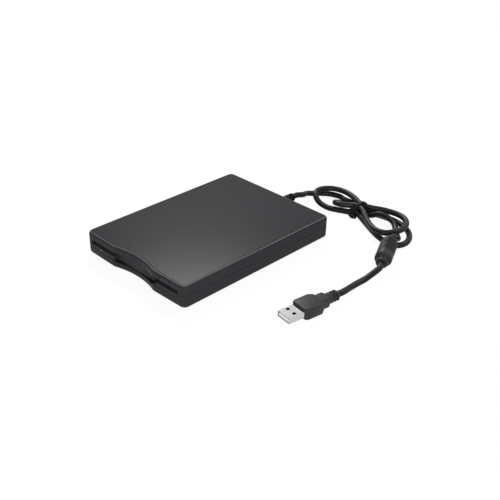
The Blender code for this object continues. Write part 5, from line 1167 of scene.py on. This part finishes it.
class DRIVE_OT_case(bpy.types.Operator):
    """Finish the covers, feet and screws"""
    bl_idname = "drive.case"
    bl_label = "Case"

    def execute(self, context):
        colours = context.scene.floppy_finish
        dress(["top_cover", "bottom_cover"],
              moulded("case_plastic", colours.case, colours.case_rough, colours.grain, painted_edge_highlight=colours.painted_edge_highlight))
        dress(["rubber_foot_1", "rubber_foot_2", "rubber_foot_3", "rubber_foot_4"],
              soft_moulded("foot_rubber", (0.02, 0.02, 0.021), 0.7, sheen=0.3))
        dress(["case_screw_1", "case_screw_2", "chassis_screw_1", "chassis_screw_2"],
              metal("screw_steel", (0.42, 0.42, 0.43), 0.33, (1, 1, 6)))
        return {"FINISHED"}


class DRIVE_OT_front(bpy.types.Operator):
    """Finish the ledges, dust flap, eject button and lamp lens"""
    bl_idname = "drive.front"
    bl_label = "Front"

    def execute(self, context):
        trim = context.scene.floppy_finish.trim
        dress(["front_bezel"], moulded("ledge_plastic", trim, 0.42, TRIM_GRAIN))
        dress(["dust_flap"], moulded("flap_plastic", scaled(trim, 0.95), 0.45, TRIM_GRAIN))
        dress(["eject_button"], moulded("button_plastic", trim, 0.4, TRIM_GRAIN))
        dress(["led_lens"], indicator("lamp_lens", (0.02, 0.05, 0.03)))
        return {"FINISHED"}


class DRIVE_OT_mechanism(bpy.types.Operator):
    """Finish the loading, spindle and head pieces, and wind the lever's return spring"""
    bl_idname = "drive.mechanism"
    bl_label = "Mechanism"

    def execute(self, context):
        dress(["chassis", "disk_holder"],
              metal("rolled_steel", (0.52, 0.52, 0.53), 0.36, (0.4, 14, 1)))
        dress(["slide_plate", "shutter_lever", "upper_head_arm"],
              metal("zinc_sheet", (0.58, 0.57, 0.52), 0.34, (9, 0.6, 1), streak=0.3))
        dress(["rotor_cup", "disk_hub", "stepper_motor"],
              metal("turned_steel", (0.56, 0.56, 0.57), 0.26, (6, 6, 1)))
        dress(["lever_pivot", "hub_drive_pin", "spindle_shaft", "guide_rod", "lead_screw"],
              metal("ground_steel", (0.6, 0.6, 0.61), 0.2, (1, 8, 1)))
        wire = metal("spring_wire", (0.45, 0.45, 0.46), 0.28, (2, 9, 2))
        dress(["eject_spring_1", "eject_spring_2", "flap_spring", "arm_spring"], wire)
        points, faces = coil_spring("shutter_spring", COIL_WIRE, COIL_TURNS)
        coil = piece("lever_return_spring", points, faces, wire, "holder", ("shutter_spring",))
        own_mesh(coil)
        dress(["spindle_bearing"], metal("bearing_bronze", (0.55, 0.38, 0.14), 0.34, (4, 4, 1)))
        dress(["stator"], grainy("wound_copper", (0.5, 0.24, 0.09), 0.4, 0.5 * MM, metallic=0.8))
        dress(["rotor_magnet"], grainy("bonded_magnet", (0.03, 0.03, 0.032), 0.6, 0.3 * MM))
        dress(["head_carriage", "track_zero_sensor", "switch_block"],
              moulded("glass_filled", (0.02, 0.02, 0.021), 0.5, 0.35 * MM, drift=0.12))
        dress(["lower_head", "upper_head"], grainy("head_ceramic", (0.45, 0.42, 0.36), 0.2, 0.15 * MM))
        dress(["switch_plunger_1", "switch_plunger_2", "switch_plunger_3"],
              moulded("nylon", (0.6, 0.6, 0.57), 0.45, 0.3 * MM, drift=0.03))
        return {"FINISHED"}


class DRIVE_OT_boards(bpy.types.Operator):
    """Finish the boards, their chips and the flexible cables"""
    bl_idname = "drive.boards"
    bl_label = "Boards"

    def execute(self, context):
        dress(["motor_board", "usb_board"], printed_board("solder_mask", (0.015, 0.09, 0.04)))
        dress(["controller_chip"], moulded("chip_epoxy", (0.014, 0.014, 0.015), 0.55, 0.12 * MM, drift=0.1))
        dress(["crystal"], metal("crystal_can", (0.62, 0.62, 0.63), 0.24, (1, 7, 1)))
        dress(["flat_cable"], film("white_film", (0.55, 0.55, 0.53)))
        dress(["head_flex_cable"], film("amber_film", (0.4, 0.17, 0.04)))
        return {"FINISHED"}


class DRIVE_OT_stage(bpy.types.Operator):
    """Set up the floor, the lamps and the white room"""
    bl_idname = "drive.stage"
    bl_label = "Stage"

    def execute(self, context):
        stage = context.scene.floppy_stage
        context.scene.view_settings.view_transform = "Standard"
        level = CAD_BOX[0].z - FLOOR_DROP
        corners = [(x * FLOOR_HALF, y * FLOOR_HALF, level) for x, y in ((-1, -1), (1, -1), (1, 1), (-1, 1))]
        mesh = bpy.data.meshes.new("floor")
        mesh.from_pydata(corners, [], [(0, 1, 2, 3)])
        floor = bpy.data.objects.new("floor", mesh)
        context.scene.collection.objects.link(floor)
        look = bpy.data.materials.new("floor_paper")
        look.use_nodes = True
        tree = look.node_tree
        tree.nodes.clear()
        out = tree.nodes.new("ShaderNodeOutputMaterial")
        paper = tree.nodes.new("ShaderNodeBsdfDiffuse")
        paper.inputs["Color"].default_value = (*stage.floor, 1)
        glow = tree.nodes.new("ShaderNodeEmission")
        glow.inputs["Strength"].default_value = 1
        tree.links.new(seen_share(tree, FLOOR_GLOW), mix_in(tree, paper, glow, out))
        mesh.materials.append(look)

        world = bpy.data.worlds.new("room")
        world.use_nodes = True
        context.scene.world = world
        tree = world.node_tree
        tree.nodes.clear()
        out = tree.nodes.new("ShaderNodeOutputWorld")
        room = even_light(tree, stage.sky)
        white = even_light(tree, 1)
        tree.links.new(seen_share(tree, 1), mix_in(tree, room, white, out))

        for row, power in zip(LAMPS, (stage.key, stage.rim, stage.side)):
            lamp(*row, power, context)
        return {"FINISHED"}


def lamp(name, at, wide, high, power, context):
    """A rectangular lamp that faces the drive."""
    data = bpy.data.lights.new(name, "AREA")
    data.shape = "RECTANGLE"
    data.size = wide
    data.size_y = high
    data.energy = power
    made = bpy.data.objects.new(name, data)
    made.location = at
    made.rotation_euler = (LAMP_AIM - Vector(at)).to_track_quat("-Z", "Y").to_euler()
    context.scene.collection.objects.link(made)


def even_light(tree, strength):
    """White light from all round."""
    node = tree.nodes.new("ShaderNodeBackground")
    node.inputs["Color"].default_value = (1, 1, 1, 1)
    node.inputs["Strength"].default_value = strength
    return node


def seen_share(tree, most):
    """How much of the plain white a ray sees: rays from the camera, and through gloss and glass."""
    path = tree.nodes.new("ShaderNodeLightPath")
    last = path.outputs["Is Camera Ray"]
    for kind in ("Is Glossy Ray", "Is Transmission Ray"):
        last = worked_out(tree, "MAXIMUM", last, path.outputs[kind])
    return worked_out(tree, "MULTIPLY", last, most)


def mix_in(tree, first, second, out):
    """Mix two shaders into the output, and give back the socket for the second one's share."""
    mix = tree.nodes.new("ShaderNodeMixShader")
    tree.links.new(first.outputs[0], mix.inputs[1])
    tree.links.new(second.outputs[0], mix.inputs[2])
    tree.links.new(mix.outputs[0], out.inputs["Surface"])
    return mix.inputs[0]


class DRIVE_PT_panel(bpy.types.Panel):
    """Lists the drive's sizes, colours and steps"""
    bl_label = "External floppy drive"
    bl_idname = "DRIVE_PT_panel"
    bl_space_type = "VIEW_3D"
    bl_region_type = "UI"
    bl_category = "Drive"

    def draw(self, context):
        for group in (context.scene.floppy_finish, context.scene.floppy_cord, context.scene.floppy_stage):
            box = self.layout.box()
            for name in group.__annotations__:
                box.prop(group, name)
        for step in STEPS:
            self.layout.operator(step.bl_idname)


STEPS = (DRIVE_OT_camera, DRIVE_OT_cord, DRIVE_OT_choke, DRIVE_OT_tie, DRIVE_OT_plug, DRIVE_OT_join,
         DRIVE_OT_case, DRIVE_OT_front, DRIVE_OT_mechanism, DRIVE_OT_boards, DRIVE_OT_stage)
GROUPS = (("floppy_finish", FloppyFinish), ("floppy_cord", FloppyCord), ("floppy_stage", FloppyStage))


def register():
    for _, group in GROUPS:
        bpy.utils.register_class(group)
    for name, group in GROUPS:
        setattr(bpy.types.Scene, name, bpy.props.PointerProperty(type=group))
    for step in STEPS + (DRIVE_PT_panel,):
        bpy.utils.register_class(step)


def unregister():
    for step in reversed(STEPS + (DRIVE_PT_panel,)):
        bpy.utils.unregister_class(step)
    for name, group in reversed(GROUPS):
        delattr(bpy.types.Scene, name)
        bpy.utils.unregister_class(group)


def main():
    register()
    bpy.ops.drive.camera()
    bpy.ops.drive.cord()
    bpy.ops.drive.choke()
    bpy.ops.drive.tie()
    bpy.ops.drive.plug()
    bpy.ops.drive.join()
    bpy.ops.drive.case()
    bpy.ops.drive.front()
    bpy.ops.drive.mechanism()
    bpy.ops.drive.boards()
    bpy.ops.drive.stage()


if __name__ == "__main__":
    main()
